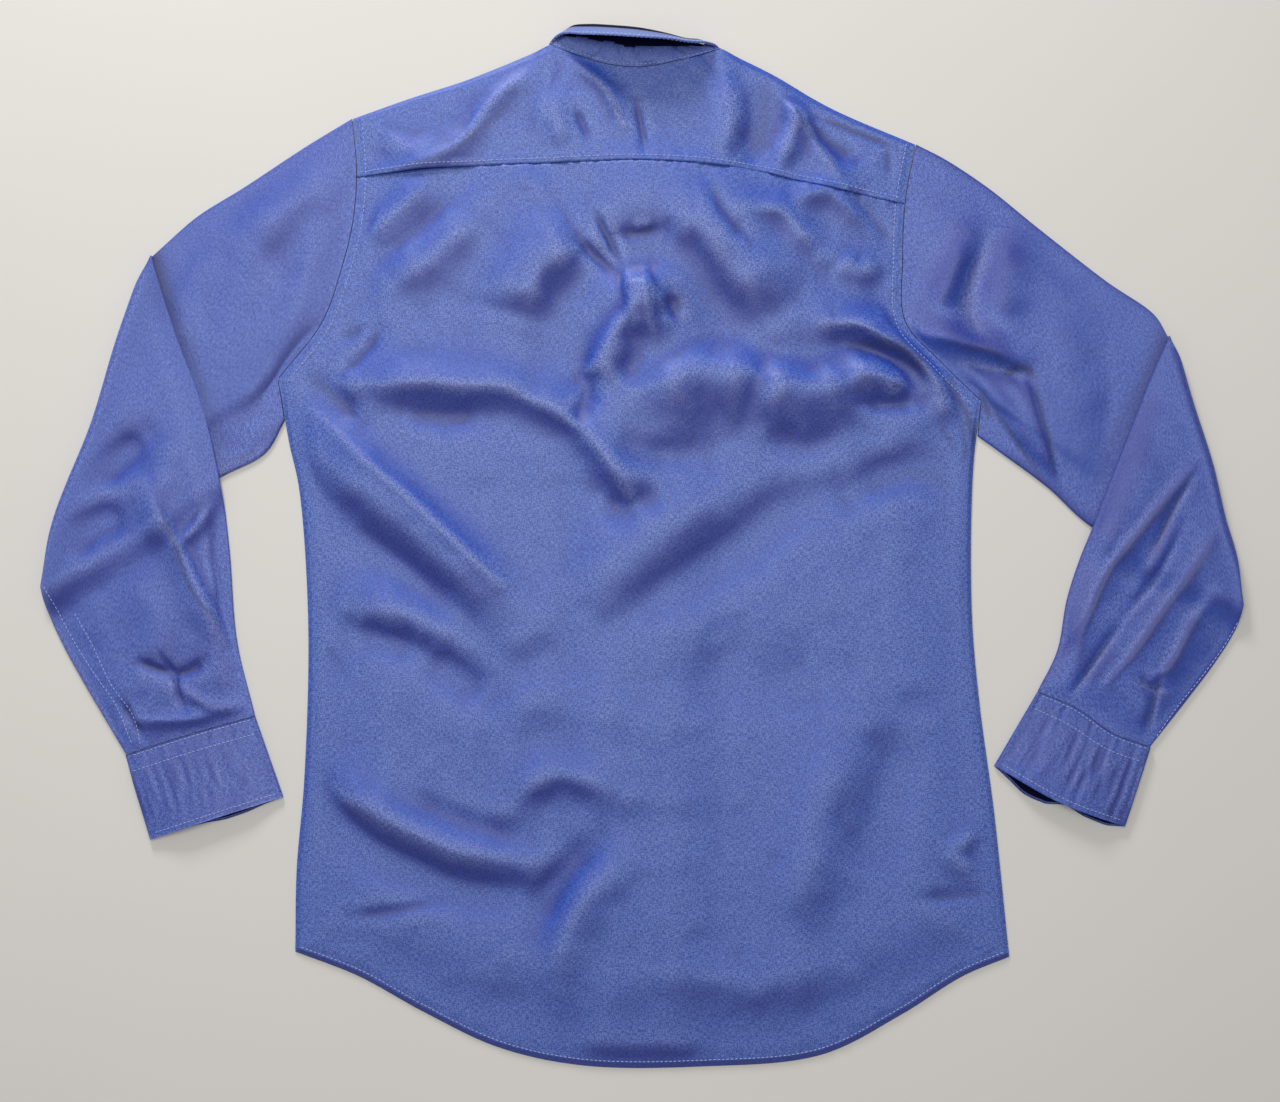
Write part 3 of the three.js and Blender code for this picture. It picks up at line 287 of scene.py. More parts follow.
BACK_FOLDS = folds(
    # points of the line, reach, height, skew, sharp
    # The left half's bright band and the dark band that runs on down to the middle.
    ([(-216, 126), (-166, 128), (-137, 125), (-106, 124), (-80, 114)], 20, 7.5, 0.2, 1.8),
    ([(-94, 118), (-62, 104), (-36, 82), (-16, 56), (0, 28)], 21, 7.5, 0.3, 1.6),
    ([(-40, 142), (-42, 116), (-50, 92)], 14, -6, 0, 1.8),
    ([(-182, 104), (-150, 100), (-122, 102)], 12, -3),
    ([(-30, 42), (-12, 30), (20, 44)], 16, -3.5),
    # The ridge from the left edge down to the middle, and the V over it.
    ([(-268, 94), (-236, 72), (-206, 46), (-170, 14), (-130, -20), (-92, -62)], 27, 8, 0.05, 2.6),
    ([(-252, 106), (-214, 70), (-180, 42), (-144, 8), (-108, -28)], 8, 2.6, 0, 1.5),
    ([(-258, 134), (-236, 116), (-216, 98)], 12, -5, 0, 1.6),
    ([(-231, 134), (-214, 149), (-200, 168)], 8, -2.5, 0, 1.5),
    ([(-230, 162), (-214, 170)], 7, -2, 0, 1.5),
    ([(-226, 12), (-180, -18), (-140, -58)], 22, -4),
    # The knot under the yoke's middle.
    ([(-46, 116), (-24, 158), (0, 192), (10, 203)], 26, 7, -0.58, 1.8),
    ([(-17, 196), (-2, 204), (7, 202), (13, 190), (18, 176)], 11, 3.5, -0.3, 1.6),
    ([(12, 204), (-16, 200)], 26, 6.5, 0.45, 1.9),
    ([(-18, 240), (4, 244), (18, 246)], 9, -3, 0, 1.6),
    ([(-34, 258), (-26, 240), (-15, 220)], 6, -3, 0, 1.4),
    ([(-47, 237), (-32, 222), (-16, 209)], 7, -3, 0, 1.5),
    ([(-8, 246), (12, 248)], 6, 2.4, 0, 1.5),
    ([(-92, 176), (-79, 213), (-42, 235)], 33, 8.5, 0.35),
    ([(10, 264), (32, 260), (52, 246), (69, 224), (87, 203), (104, 176)], 38, 11, 0.32, 2.2),
    ([(22, 194), (28, 176)], 9, -3.5, 0, 1.6),
    ([(-6, 176), (-4, 150), (-16, 124)], 14, -3.5),
    # The right half's bright band, with three dark lobes under it.
    ([(0, 116), (19, 124), (46, 136), (78, 134), (99, 129)], 30, 9, -0.35, 2),
    ([(86, 132), (126, 124), (150, 126), (166, 134)], 29, 9, -0.35, 2),
    ([(156, 131), (180, 134), (210, 122)], 17, 6, -0.1, 1.8),
    ([(-28, 86), (6, 72), (50, 72)], 16, -2.5),
    ([(98, 96), (124, 78), (160, 92)], 16, -2.5),
    ([(172, 112), (216, 112)], 10, -3.5),
    # The S at the right armhole and the creases of the pit.
    ([(146, 172), (168, 172), (190, 161), (211, 150), (227, 134), (234, 110)], 15, 9.5, 0.35, 1.6),
    ([(156, 158), (186, 148), (206, 136), (216, 116)], 10, -5, 0, 1.8),
    ([(233, 144), (261, 115)], 6, 2.5, 0, 1.4),
    ([(233, 138), (243, 121), (254, 99), (259, 72)], 7, -3.5, 0, 1.4),
    ([(244, 112), (250, 92), (252, 62)], 5, -2, 0, 1.4),
    # Upper left and right.
    ([(-160, 284), (-186, 262), (-212, 238)], 15, 3.2, 0, 1.8),
    ([(-124, 262), (-152, 230), (-192, 204)], 19, 4.2, 0, 2),
    ([(-140, 272), (-170, 246), (-202, 222)], 9, -1.8, 0, 1.8),
    ([(-100, 288), (-66, 276)], 12, 2),
    ([(52, 283), (64, 258), (85, 235)], 10, -3, 0, 1.7),
    ([(84, 264), (108, 259), (126, 240), (138, 226)], 13, 4, 0.2, 1.7),
    ([(112, 268), (146, 274), (180, 248)], 14, 4.5, 0, 1.8),
    ([(157, 276), (178, 257), (198, 232)], 9, -4, 0, 1.6),
    ([(150, 224), (168, 214), (186, 220)], 13, 3),
    # The middle and the lower back.
    ([(162, 38), (190, 54), (222, 58), (245, 40)], 18, -5),
    ([(-22, -56), (28, -28), (74, 0), (112, 30), (150, 42)], 25, -4.8),
    ([(-60, -60), (-20, -20), (40, 24), (92, 56)], 34, 3.5),
    ([(-222, -64), (-169, -78)], 17, -4.5),
    ([(-226, -46), (-168, -56), (-126, -92)], 22, 4),
    ([(-166, -82), (-118, -116)], 20, -5),
    ([(-256, -104), (-230, -82)], 14, -4),
    ([(-244, -176), (-208, -202), (-169, -222), (-132, -236), (-90, -244)], 22, 7, 0.15, 1.8),
    ([(-259, -182), (-235, -213), (-188, -243), (-133, -264), (-80, -270)], 21, -6),
    ([(-184, -192), (-133, -214), (-86, -226)], 14, -3.5),
    ([(-100, -198), (-76, -178), (-48, -176), (-14, -192)], 22, 5, 0.2, 1.8),
    ([(-12, -240), (-43, -270), (-58, -302), (-60, -340)], 20, 4.5, 0.1, 1.8),
    ([(-30, -222), (-66, -262), (-84, -296)], 15, -3.5),
    ([(166, -140), (142, -190), (128, -244), (116, -300)], 30, 5),
    ([(204, -130), (190, -190), (178, -262)], 28, -3.5),
    ([(30, -90), (90, -104), (150, -96)], 34, -2.5),
    ([(-120, -130), (-60, -120), (0, -136)], 30, 2.5),
    ([(272, -212), (244, -236), (260, -256)], 12, 2.5),
    ([(-226, -285), (-190, -280), (-156, -273)], 7, -1.8, 0, 1.5),
    ([(214, -270), (246, -268), (278, -265)], 7, -1.8, 0, 1.5),
    ([(30, -330), (90, -336), (150, -326)], 22, 2.4),
)

YOKE_FOLDS = folds(
    ([(-69, 384), (-116, 342), (-133, 318), (-154, 302), (-208, 290)], 13, 4.5, 0.2, 1.5),
    ([(-53, 374), (-26, 352), (-14, 326)], 8, 3.2, 0.2, 1.5),
    ([(-3, 345), (1, 322), (5, 301)], 6, -2.2, 0, 1.5),
    ([(-49, 336), (-39, 314)], 6, -2, 0, 1.5),
    ([(-84, 352), (-66, 330), (-60, 304)], 14, 2.2),
    ([(70, 368), (70, 331), (60, 296)], 15, 3.6),
    ([(93, 364), (94, 331), (84, 292)], 17, -5.5),
    ([(120, 352), (119, 326), (106, 290)], 12, 3.6, 0, 1.8),
    ([(108, 349), (135, 315), (159, 279)], 10, 4.5, 0, 1.5),
    ([(134, 326), (146, 314), (166, 302)], 11, -5, 0, 1.7),
    ([(138, 332), (170, 320), (199, 310)], 6, -3.2, 0, 1.4),
    ([(150, 340), (182, 322), (206, 318)], 7, 2, 0, 1.6),
    ([(191, 308), (192, 288)], 6, -2, 0, 1.5),
    ([(-205, 320), (-176, 306), (-150, 318)], 12, 1.8),
)

# Painted shade along sharp creases: these only darken the colour; the folds give the height.
BODY_CREASE_SHADES = creases(
    ([(-35, 262), (-26, 240), (-14, 218)], 2, 0.6),
    ([(-50, 240), (-32, 222), (-14, 208)], 2.4, 0.4),
    ([(-18, 238), (0, 243), (18, 246)], 2, 0.5),
    ([(-12, 226), (4, 234), (14, 226)], 5, 0.25),
    ([(24, 196), (29, 184), (24, 174)], 5, 0.35),
    ([(148, 152), (176, 156), (201, 152), (218, 136), (221, 112)], 5.5, 0.6),
    ([(233, 142), (243, 121), (254, 99), (259, 68)], 2.6, 0.6),
    ([(244, 116), (250, 92), (252, 58)], 2, 0.4),
    ([(230, 100), (238, 84), (246, 74)], 2.4, 0.35),
    ([(-258, 134), (-236, 116), (-214, 96)], 3.2, 0.4),
    ([(-234, 132), (-214, 149), (-200, 168)], 2.2, 0.35),
    ([(-232, 160), (-212, 172)], 2.2, 0.3),
    ([(-182, 104), (-150, 99), (-122, 100)], 5, 0.25),
    ([(-50, 108), (-47, 92), (-52, 76)], 2.6, 0.3),
    ([(150, 118), (168, 124), (178, 134)], 3, 0.3),
    ([(52, 286), (64, 258), (86, 233)], 2.6, 0.3),
    ([(157, 278), (178, 257), (199, 230)], 3, 0.35),
    ([(-57, 378), (-26, 352), (-12, 322)], 1.8, 0.4),
    ([(-3, 348), (1, 322), (5, 299)], 1.8, 0.4),
    ([(-51, 340), (-38, 312)], 1.8, 0.25),
    ([(-84, 364), (-120, 324), (-152, 303), (-196, 289)], 2.2, 0.4),
    ([(96, 366), (96, 331), (84, 290)], 8, 0.35),
    ([(108, 352), (135, 315), (158, 281)], 2, 0.35),
    ([(128, 330), (146, 314), (168, 300)], 3.4, 0.5),
    ([(134, 334), (170, 320), (202, 308)], 2, 0.6),
    ([(191, 312), (192, 288)], 2, 0.4),
    ([(-206, 330), (-176, 322), (-146, 328)], 1.8, 0.25),
    ([(162, 36), (190, 53), (222, 57), (247, 40)], 4, 0.2),
    ([(-228, -286), (-190, -281), (-154, -273)], 2.2, 0.3),
    ([(212, -271), (246, -269), (280, -265)], 2.2, 0.3),
)

LEFT_CREASE_SHADES = creases(
    ([(-382, 58), (-360, 10), (-345, -33), (-326, -58), (-314, -88)], 2.2, 0.5),
    ([(-349, 16), (-342, 26), (-333, 36)], 2.2, 0.45),
    ([(-388, -87), (-372, -94), (-358, -98)], 2, 0.6),
    ([(-361, -98), (-348, -95), (-334, -87)], 2, 0.65),
    ([(-360, -95), (-357, -110), (-352, -128)], 1.8, 0.5),
    ([(-356, -108), (-330, -123), (-304, -123)], 2.4, 0.35),
    ([(-402, -116), (-390, -136), (-383, -150)], 2.4, 0.5),
    ([(-256, 160), (-271, 136), (-279, 108)], 2.6, 0.45),
    ([(-262, 108), (-282, 92), (-300, 84)], 2, 0.4),
    ([(-322, 66), (-306, 72), (-290, 84)], 2, 0.35),
)

RIGHT_CREASE_SHADES = creases(
    ([(441, 78), (419, 53), (389, 17), (363, -17), (344, -58), (326, -88)], 2, 0.7),
    ([(429, 60), (412, 32), (401, 8), (390, -13)], 1.9, 0.55),
    ([(450, 22), (431, -11), (401, -54), (380, -84), (360, -107)], 2, 0.65),
    ([(442, -38), (427, -58), (410, -90), (392, -105)], 2, 0.55),
    ([(371, -62), (352, -88), (333, -114)], 1.8, 0.45),
    ([(382, -100), (394, -108), (406, -110)], 2, 0.6),
    ([(405, -88), (398, -120), (391, -148)], 2, 0.55),
    ([(240, 152), (256, 153), (271, 151), (284, 136)], 2.2, 0.5),
    ([(280, 130), (290, 138), (299, 137), (304, 126)], 3.6, 0.85),
    ([(298, 138), (306, 118), (312, 94), (323, 48)], 2.2, 0.6),
    ([(262, 124), (266, 112), (274, 98)], 3, 0.7),
    ([(264, 120), (286, 90), (303, 64), (321, 44)], 2, 0.55),
    ([(270, 240), (257, 208), (254, 178), (270, 158)], 4, 0.35),
    ([(404, 162), (388, 130), (370, 92), (348, 40)], 3.4, 0.35),
)

LEFT_UPPER_FOLDS = folds(
    ([(-236, 306), (-262, 268), (-300, 232)], 24, 3),
    ([(-244, 280), (-270, 236), (-280, 196)], 20, -2.5),
    ([(-330, 240), (-350, 190), (-352, 140)], 26, 2.5),
    ([(-256, 160), (-272, 136), (-280, 112)], 9, -2),
    ([(-262, 106), (-282, 92), (-300, 84)], 7, 2, 0, 1.6),
)

LEFT_FOREARM_FOLDS = folds(
    ([(-382, 50), (-358, 7), (-334, -44), (-314, -84)], 15, 4.5, -0.68, 1.6),
    ([(-332, 30), (-342, 16), (-356, 2)], 7, 3.5, 0, 1.5),
    ([(-330, 14), (-324, -20), (-318, -60)], 7, -3, 0, 1.6),
    ([(-380, 86), (-402, 66), (-422, 48)], 15, -4.5),
    ([(-392, 26), (-424, 14), (-446, -8)], 17, -5),
    ([(-366, 70), (-372, 30), (-360, 0)], 16, 2.5),
    ([(-388, -10), (-372, -60), (-380, -96)], 22, 3),
    ([(-386, -88), (-372, -94), (-359, -98)], 5, -3, 0, 1.4),
    ([(-360, -98), (-348, -95), (-336, -88)], 5, -3, 0, 1.4),
    ([(-369, -84), (-360, -97), (-357, -110), (-352, -126)], 4, -2.6, 0, 1.4),
    ([(-388, -134), (-352, -133), (-322, -130)], 7, 2.6, 0, 1.5),
    ([(-356, -108), (-330, -124), (-304, -124)], 6, 2.4, 0, 1.5),
    ([(-400, -120), (-390, -136), (-384, -148)], 5, -2.4, 0, 1.5),
)

RIGHT_UPPER_FOLDS = folds(
    # The pleat that starts at the armhole and ends in a point, with a crease down from it.
    ([(214, 166), (246, 158), (270, 152), (291, 144)], 14, 7.5, 0.45, 1.8),
    ([(288, 142), (296, 128), (306, 98), (316, 66), (323, 46)], 9, 4.5, -0.55, 1.6),
    ([(250, 144), (272, 139), (290, 134), (297, 122)], 6, -4.5, 0, 1.8),
    ([(258, 124), (267, 108), (270, 98)], 5, -4, 0, 1.6),
    ([(262, 112), (280, 88), (302, 64), (318, 46)], 4, -2.6, 0, 1.5),
    ([(272, 122), (288, 100), (304, 74)], 9, 2.6, 0, 1.8),
    ([(254, 240), (240, 210), (226, 180)], 15, 5.5, 0.1, 1.8),
    ([(268, 238), (257, 208), (255, 178), (270, 156)], 12, -5, 0, 1.8),
    ([(292, 236), (282, 200), (290, 172)], 20, 4.5, 0.2),
    ([(330, 190), (338, 140), (356, 90)], 26, 2.5),
    ([(390, 150), (376, 100), (360, 60)], 22, -3),
    ([(392, 172), (384, 150), (374, 128)], 8, -2.5, 0, 1.6),
)

RIGHT_FOREARM_FOLDS = folds(
    ([(438, 74), (419, 53), (389, 17), (363, -17), (344, -58), (326, -84)], 10, 2.8, 0.62, 1.5),
    ([(427, 57), (412, 32), (401, 8), (391, -11)], 4, -2.6, 0, 1.4),
    ([(448, 18), (431, -11), (401, -54), (380, -84), (362, -104)], 10, 3, 0.62, 1.5),
    ([(440, -40), (427, -58), (410, -90), (394, -103)], 9, 3, 0.6, 1.5),
    ([(369, -64), (352, -88), (335, -112)], 5, -2.4, 0, 1.4),
    ([(384, -102), (394, -108), (404, -110)], 4, -2.4, 0, 1.4),
    ([(404, -90), (398, -120), (392, -146)], 5, -2.4, 0, 1.4),
    ([(398, 90), (378, 40), (350, 0)], 30, 3),
    ([(420, 20), (394, -30), (372, -58)], 5, -1.8, 0, 1.5),
    ([(416, 20), (400, -8), (384, -36)], 9, 1.6),
    ([(336, -40), (340, -76), (352, -112)], 12, 1.6),
)

# --- Plan of the body ---

ARMHOLE_LEFT = edge((-222, 332), (-219, 288), (-222, 252), (-229, 222), (-246, 174), (-280, 130))
ARMHOLE_RIGHT = edge((213, 312), (205, 268), (203, 222), (205, 175), (233, 143), (264, 113))
SIDE_LEFT = edge((-280, 130), (-272, 82), (-264, 45), (-257, -60), (-260, -178), (-266, -250),
                 (-267, -313))
SIDE_RIGHT = edge((264, 113), (258, 59), (257, -50), (263, -121), (274, -203), (286, -317))
HEM_MIDDLE = -402
HEM = edge((-267, -313), (-218, -332), (-167, -360), (-110, -387), (-46, -401), (47, HEM_MIDDLE),
           (140, -393), (202, -362), (250, -332), (286, -317))
YOKE_SEAM = edge((-219, 288), (-161, 294), (-74, 298), (2, 300), (78, 294), (136, 282), (205, 268))
SHOULDER_LEFT = edge((-222, 332), (-180, 347), (-125, 365), (-69, 388))
SHOULDER_RIGHT = edge((63, 385), (100, 367), (150, 339), (213, 312))
NECK_BACK = edge((-69, 388), (-48, 380), (-24, 373), (0, 371), (30, 376), (63, 385))

ARMHOLE_YOKE_SHARE = 0.21  # part of the armhole that the yoke takes
PIT = 0.28  # where the armhole ends, as a share of the back's side
BACK_WIDTH, BACK_LENGTH = 540, 615
NECK_LEFT_SHARE, NECK_RIGHT_SHARE = 0.355, 0.655
YOKE_DEPTH = 75


def back_side(armhole, side):
    return chain((part(armhole, ARMHOLE_YOKE_SHARE, 1), PIT), (side, 1))


YOKE_TOP = chain((SHOULDER_LEFT, NECK_LEFT_SHARE), (offset(NECK_BACK, -2.5 * SEAM), NECK_RIGHT_SHARE),
                 (SHOULDER_RIGHT, 1))

# --- Levels of the layers ---

PLACKET_RAMP = (PLACKET_WIDTH / 2 + 4, PLACKET_WIDTH / 2 + 48)  # from the placket's middle line
PLACKET_END = (302, 350)  # the placket's top, in y
LEAF_RAMP = (50, 84)  # distances from the middle line of a collar point
LEAF_TOP, LEAF_TIP = (62, 374), (42, 290)  # ends of that line
STAND_RAMP = (58, 84)  # distances from the middle of the neck hole


def fade(distance, ramp):
    return 1 - smoothstep(distance, *ramp)


def over_placket(x, y):
    return fade(np.abs(x), PLACKET_RAMP) * fade(y, PLACKET_END)


def over_leaf(x, y):
    share = np.clip((LEAF_TOP[1] - y) / (LEAF_TOP[1] - LEAF_TIP[1]), 0, 1)
    across = np.abs(x - NECK[0]) - lerp(LEAF_TOP[0], LEAF_TIP[0], share)
    return fade(np.hypot(across, y - lerp(LEAF_TOP[1], LEAF_TIP[1], share)), LEAF_RAMP)


def over_stand(x, y):
    return fade(np.hypot(x - NECK[0], y - NECK[1]), STAND_RAMP)


def left_front_under(x, y):
    return np.maximum(PLACKET_LIFT * over_placket(x, y), LEAF_LIFT * over_leaf(x, y))


def right_front_under(x, y):
    return np.maximum(OVERLAP_LIFT * over_placket(x, y), LEAF_LIFT * over_leaf(x, y))


def over_fronts(x, y):
    highest = np.maximum(OVERLAP_LIFT * over_placket(x, y), LEAF_LIFT * over_leaf(x, y))
    return FRONT + LAYER + np.maximum(highest, NECK_LIFT * over_stand(x, y))


def settled(height):
    """Folded cloth sinks onto the layer below and flattens there."""
    return np.where(height > SOFT, height, SOFT * np.exp(np.minimum(height, SOFT) / SOFT - 1))


def free(x, y, inside):
    """Height of the air and folds under the back: none at an edge, all of it further in."""
    return (smoothstep(inside, 0, PUFF_REACH) * PUFF
            + smoothstep(inside, *FOLDS_RAMP) * fold_height(BACK_FOLDS, x, y))


# --- From grids of points to pieces ---

PIECES = {}
# faces with more painted shade than this get the painted shade cloth
PAINTED_SHADE_DEPTH = 0.6


def steps(count, *extra):
    """Even shares with extra ones among them."""
    return np.unique(np.concatenate([np.linspace(0, 1, count + 1), *extra]))


def grid_quads(rows, cols, start=0, closed=False):
    index = start + np.arange(rows * cols).reshape(rows, cols)
    if closed:
        index = np.hstack([index, index[:, :1]])
    a, b, c, d = index[:-1, :-1], index[:-1, 1:], index[1:, 1:], index[1:, :-1]
    return np.stack([a, d, c, b], -1).reshape(-1, 4)


def border(rows, cols, start=0):
    index = start + np.arange(rows * cols).reshape(rows, cols)
    return np.concatenate([index[0, :-1], index[:-1, -1], index[-1, :0:-1], index[:0:-1, 0]])


def show(name, data):
    """A new object that is part of the shirt."""
    piece = bpy.data.objects.new(name, data)
    bpy.context.scene.collection.objects.link(piece)
    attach(piece, "root")
    return piece


def dress(piece, node):
    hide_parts(node)


def smooth_mesh(name, points, faces, *materials):
    """A smooth mesh from points in millimetres."""
    mesh = bpy.data.meshes.new(name)
    points = np.array(points, float)
    points[:, :2] -= MIDDLE
    mesh.from_pydata((points * MM).tolist(), [], faces)
    mesh.update()
    mesh.polygons.foreach_set("use_smooth", np.ones(len(mesh.polygons), bool))
    for material in materials:
        mesh.materials.append(material)
    return mesh


def build(name, points, quads, cloth, painted_light, *materials):
    """A piece of cloth from points in millimetres, with the cloth's own coordinates as its map.

    The fifth argument holds how far each point is a crest, a lit slope and a shaded slope, and how
    much painted shade it takes deep between two layers or along a crease; faces with the most painted
    shade get the second material given, a near-black painted shade cloth, if there is one."""
    quads = np.vstack(quads)
    mesh = smooth_mesh(name, points, quads.tolist(), *materials)
    layer = mesh.uv_layers.new(name="cloth")
    layer.data.foreach_set("uv", (cloth[quads.ravel()] * MM).astype(np.float32).ravel())
    color = mesh.attributes.new("painted_light", "FLOAT_COLOR", "POINT")
    color.data.foreach_set("color", painted_light.astype(np.float32).ravel())
    if len(materials) > 1:
        in_shade = painted_light[quads, 3].mean(1) > PAINTED_SHADE_DEPTH
        mesh.polygons.foreach_set("material_index", in_shade.astype(np.int32))
    PIECES[name] = show(name, mesh)
    return PIECES[name]


def normals(grid):
    """Unit normals of a grid of points, facing up where the grid is read row by row down."""
    across, down = np.gradient(grid, axis=1), np.gradient(grid, axis=0)
    normal = np.cross(down, across)
    return normal / np.maximum(np.linalg.norm(normal, axis=-1, keepdims=True), 1e-9)


CREST_SCALE, SLOPE_SCALE, LEVEL_TILT = 9.0, 4.8, 0.02
EVEN = 0.5  # crest value of flat cloth, which takes neither painted highlight nor painted shade
RIM_RAMP = (6, 14)  # cells from a piece's edge over which its painted crest highlights and dip shade start to show
LIGHT_SIDE = np.array([-0.25, 0.97])  # the way that the lit slopes of the folds face


def painted_light_of(grid, soften=2):
    """Crest, lit slope and shaded slope of each point, from 0 to 1, which set the painted highlights,
    painted light and painted shade.
    """
    normal = normals(grid)
    across, down = np.gradient(grid, axis=1), np.gradient(grid, axis=0)
    bend = sum((np.gradient(normal, axis=axis) * run).sum(-1) / np.maximum((run * run).sum(-1), 1e-6)
               for axis, run in ((1, across), (0, down)))
    bend = blur(bend, soften)
    tilt = blur(normal[..., :2] @ LIGHT_SIDE, soften)
    crest = np.clip(EVEN + CREST_SCALE * bend, 0, 1)
    row, col = np.indices(crest.shape)
    rim = np.minimum(np.minimum(row, len(row) - 1 - row), np.minimum(col, col.max() - col))
    crest = lerp(EVEN, crest, smoothstep(rim, *RIM_RAMP))
    north = np.clip(SLOPE_SCALE * (tilt - LEVEL_TILT), 0, 1)
    south = np.clip(SLOPE_SCALE * (-tilt - LEVEL_TILT), 0, 1)
    return np.stack([crest, north, south], -1)


TUCK = 2  # cells that a panel's edge is tucked in under it
ROUND_TOP, ROUND_SIDE, ROUND_UNDER = 0.12, 0.5, 0.35  # shares of the wall that shape its edge


def band(a, b):
    """Quads between two loops of points."""
    return np.stack([a, np.roll(a, -1), np.roll(b, -1), b], -1)


def panel(name, grid, wall, material, shaded_creases=()):
    """A panel's outer surface, its edge rounded over its wall and tucked a little way under."""
    rows, cols = grid.shape[:2]
    ring = border(rows, cols)
    inner_row = np.clip(ring // cols, TUCK, rows - 1 - TUCK)
    inside = inner_row * cols + np.clip(ring % cols, TUCK, cols - 1 - TUCK)
    flat = grid.reshape(-1, 3)
    inward = (flat[inside] - flat[ring]) * [1, 1, 0]
    unit = inward / np.maximum(np.linalg.norm(inward, axis=1, keepdims=True), TINY)
    down = np.array([0, 0, -wall])
    top = flat.copy()
    top[ring] += ROUND_TOP * wall * unit
    points = np.vstack([top, flat[ring] + ROUND_SIDE * down,
                        flat[ring] + ROUND_UNDER * wall * unit + down, flat[inside] + down])
    loops = [ring] + [rows * cols + k * len(ring) + np.arange(len(ring)) for k in range(3)]
    quads = [grid_quads(rows, cols)] + [band(a, b) for a, b in zip(loops, loops[1:])]
    depth = crease_shade(shaded_creases, grid[..., 0], grid[..., 1])
    painted_light = np.dstack([painted_light_of(grid), depth]).reshape(-1, 4)
    source = np.concatenate([np.arange(rows * cols), ring, ring, inside])
    return build(name, points, quads, flat[source, :2], painted_light[source], material)



# --- Back and yoke ---

CELL = 2.1  # length of a cell of the back's grid
YOKE_FINER = (1.1, 1.2)  # the yoke has this many times more cells each way
ROUNDED = np.array([0.6, 1.4, 2.6, EDGE_ROLL])  # extra rows of points, from a rounded edge
RUMPLES = ((0.5, 36, 0), (0.22, 15, 3), (0.08, 6, 5))  # height; size of a lump; added to the seed
RUMPLE_SEED = 11
PUCKER_SIZE, PUCKER_STRETCH = 3.4, 0.15  # length along a seam, and how little it varies across
SEWN_RAMP = (PIT, PIT + 0.06)  # where the armhole's seam ends and the open side begins
HEM_FOLD, HEM_RISE, HEM_END = 0.25, (0.5, 2), (5, 7.5)  # the hem's extra height, start and end
SIDE_FOLD, SIDE_END = 0.35, (5.5, 8)  # the same for the armhole's felled seam
YOKE_FOLD, YOKE_END = 0.3, (5, 7)  # and for the yoke's
SETTLE_RAMP, YOKE_RAMP = (0, 12), (2, 20)  # from an edge, folds rise over these distances
BESIDE_NECK = 0.04  # share of the yoke's width over which its top edge starts to roll
YOKE_TOUCH = 0.2  # the rolled edge's clearance over the leaf


def rumple(x, y, seed, fine=1.0):
    """The small unevenness of worn cotton."""
    return fine * sum(height * noise(x, y, size, seed + more) for height, size, more in RUMPLES)


def seam_pucker(along, away, seed, reach=6, height=0.25):
    """Little gathers across a seam, given the place along it and the distance from it."""
    gathers = noise(along, away * PUCKER_STRETCH, PUCKER_SIZE, seed)
    return height * gathers * np.exp(-((away / reach) ** 2))


BACK_OUTLINE = patch(offset(YOKE_SEAM, -SEAM / 2), HEM, back_side(ARMHOLE_LEFT, SIDE_LEFT),
                     back_side(ARMHOLE_RIGHT, SIDE_RIGHT))
YOKE_OUTLINE = patch(YOKE_TOP, offset(YOKE_SEAM, SEAM / 2), part(ARMHOLE_LEFT, 0, ARMHOLE_YOKE_SHARE),
                     part(ARMHOLE_RIGHT, 0, ARMHOLE_YOKE_SHARE))


def back_grid():
    side, end = ROUNDED / BACK_WIDTH, 1 - ROUNDED / BACK_LENGTH
    us = steps(round(BACK_WIDTH / CELL), side, 1 - side)
    vs = steps(round(BACK_LENGTH / CELL), end, [PIT])
    u, v = np.meshgrid(us, vs)
    plan = BACK_OUTLINE(u, v)
    x, y = plan[..., 0], plan[..., 1]
    to_side = np.minimum(u, 1 - u) * BACK_WIDTH
    to_hem = (1 - v) * BACK_LENGTH
    inside = np.minimum(to_side, to_hem)
    sewn = fade(v, SEWN_RAMP)
    level = lerp(FRONT + LAYER, over_fronts(x, y), smoothstep(to_hem, EDGE_ROLL, HEM_STEP - 1))
    curl = smoothstep(to_hem, 0, EDGE_ROLL) * np.maximum(sewn, smoothstep(to_side, 0, EDGE_ROLL))
    within = smoothstep(inside, *SETTLE_RAMP)
    raised = free(x, y, inside) + within * rumple(x, y, RUMPLE_SEED)
    z = PANEL + curl * (level + within * settled(raised))
    # The narrow hem is turned under twice, so it stands up over its stitching.
    z += HEM_FOLD * smoothstep(to_hem, *HEM_RISE) * fade(to_hem, HEM_END)
    z += SIDE_FOLD * sewn * fade(to_side, SIDE_END)
    z += sewn * seam_pucker(y, to_side - 7, 45, reach=8, height=0.35)
    z += seam_pucker(x, to_hem - 6, 41, reach=5)
    z += seam_pucker(x, v * BACK_LENGTH, 43, reach=7, height=0.3)
    return np.dstack([plan, z])


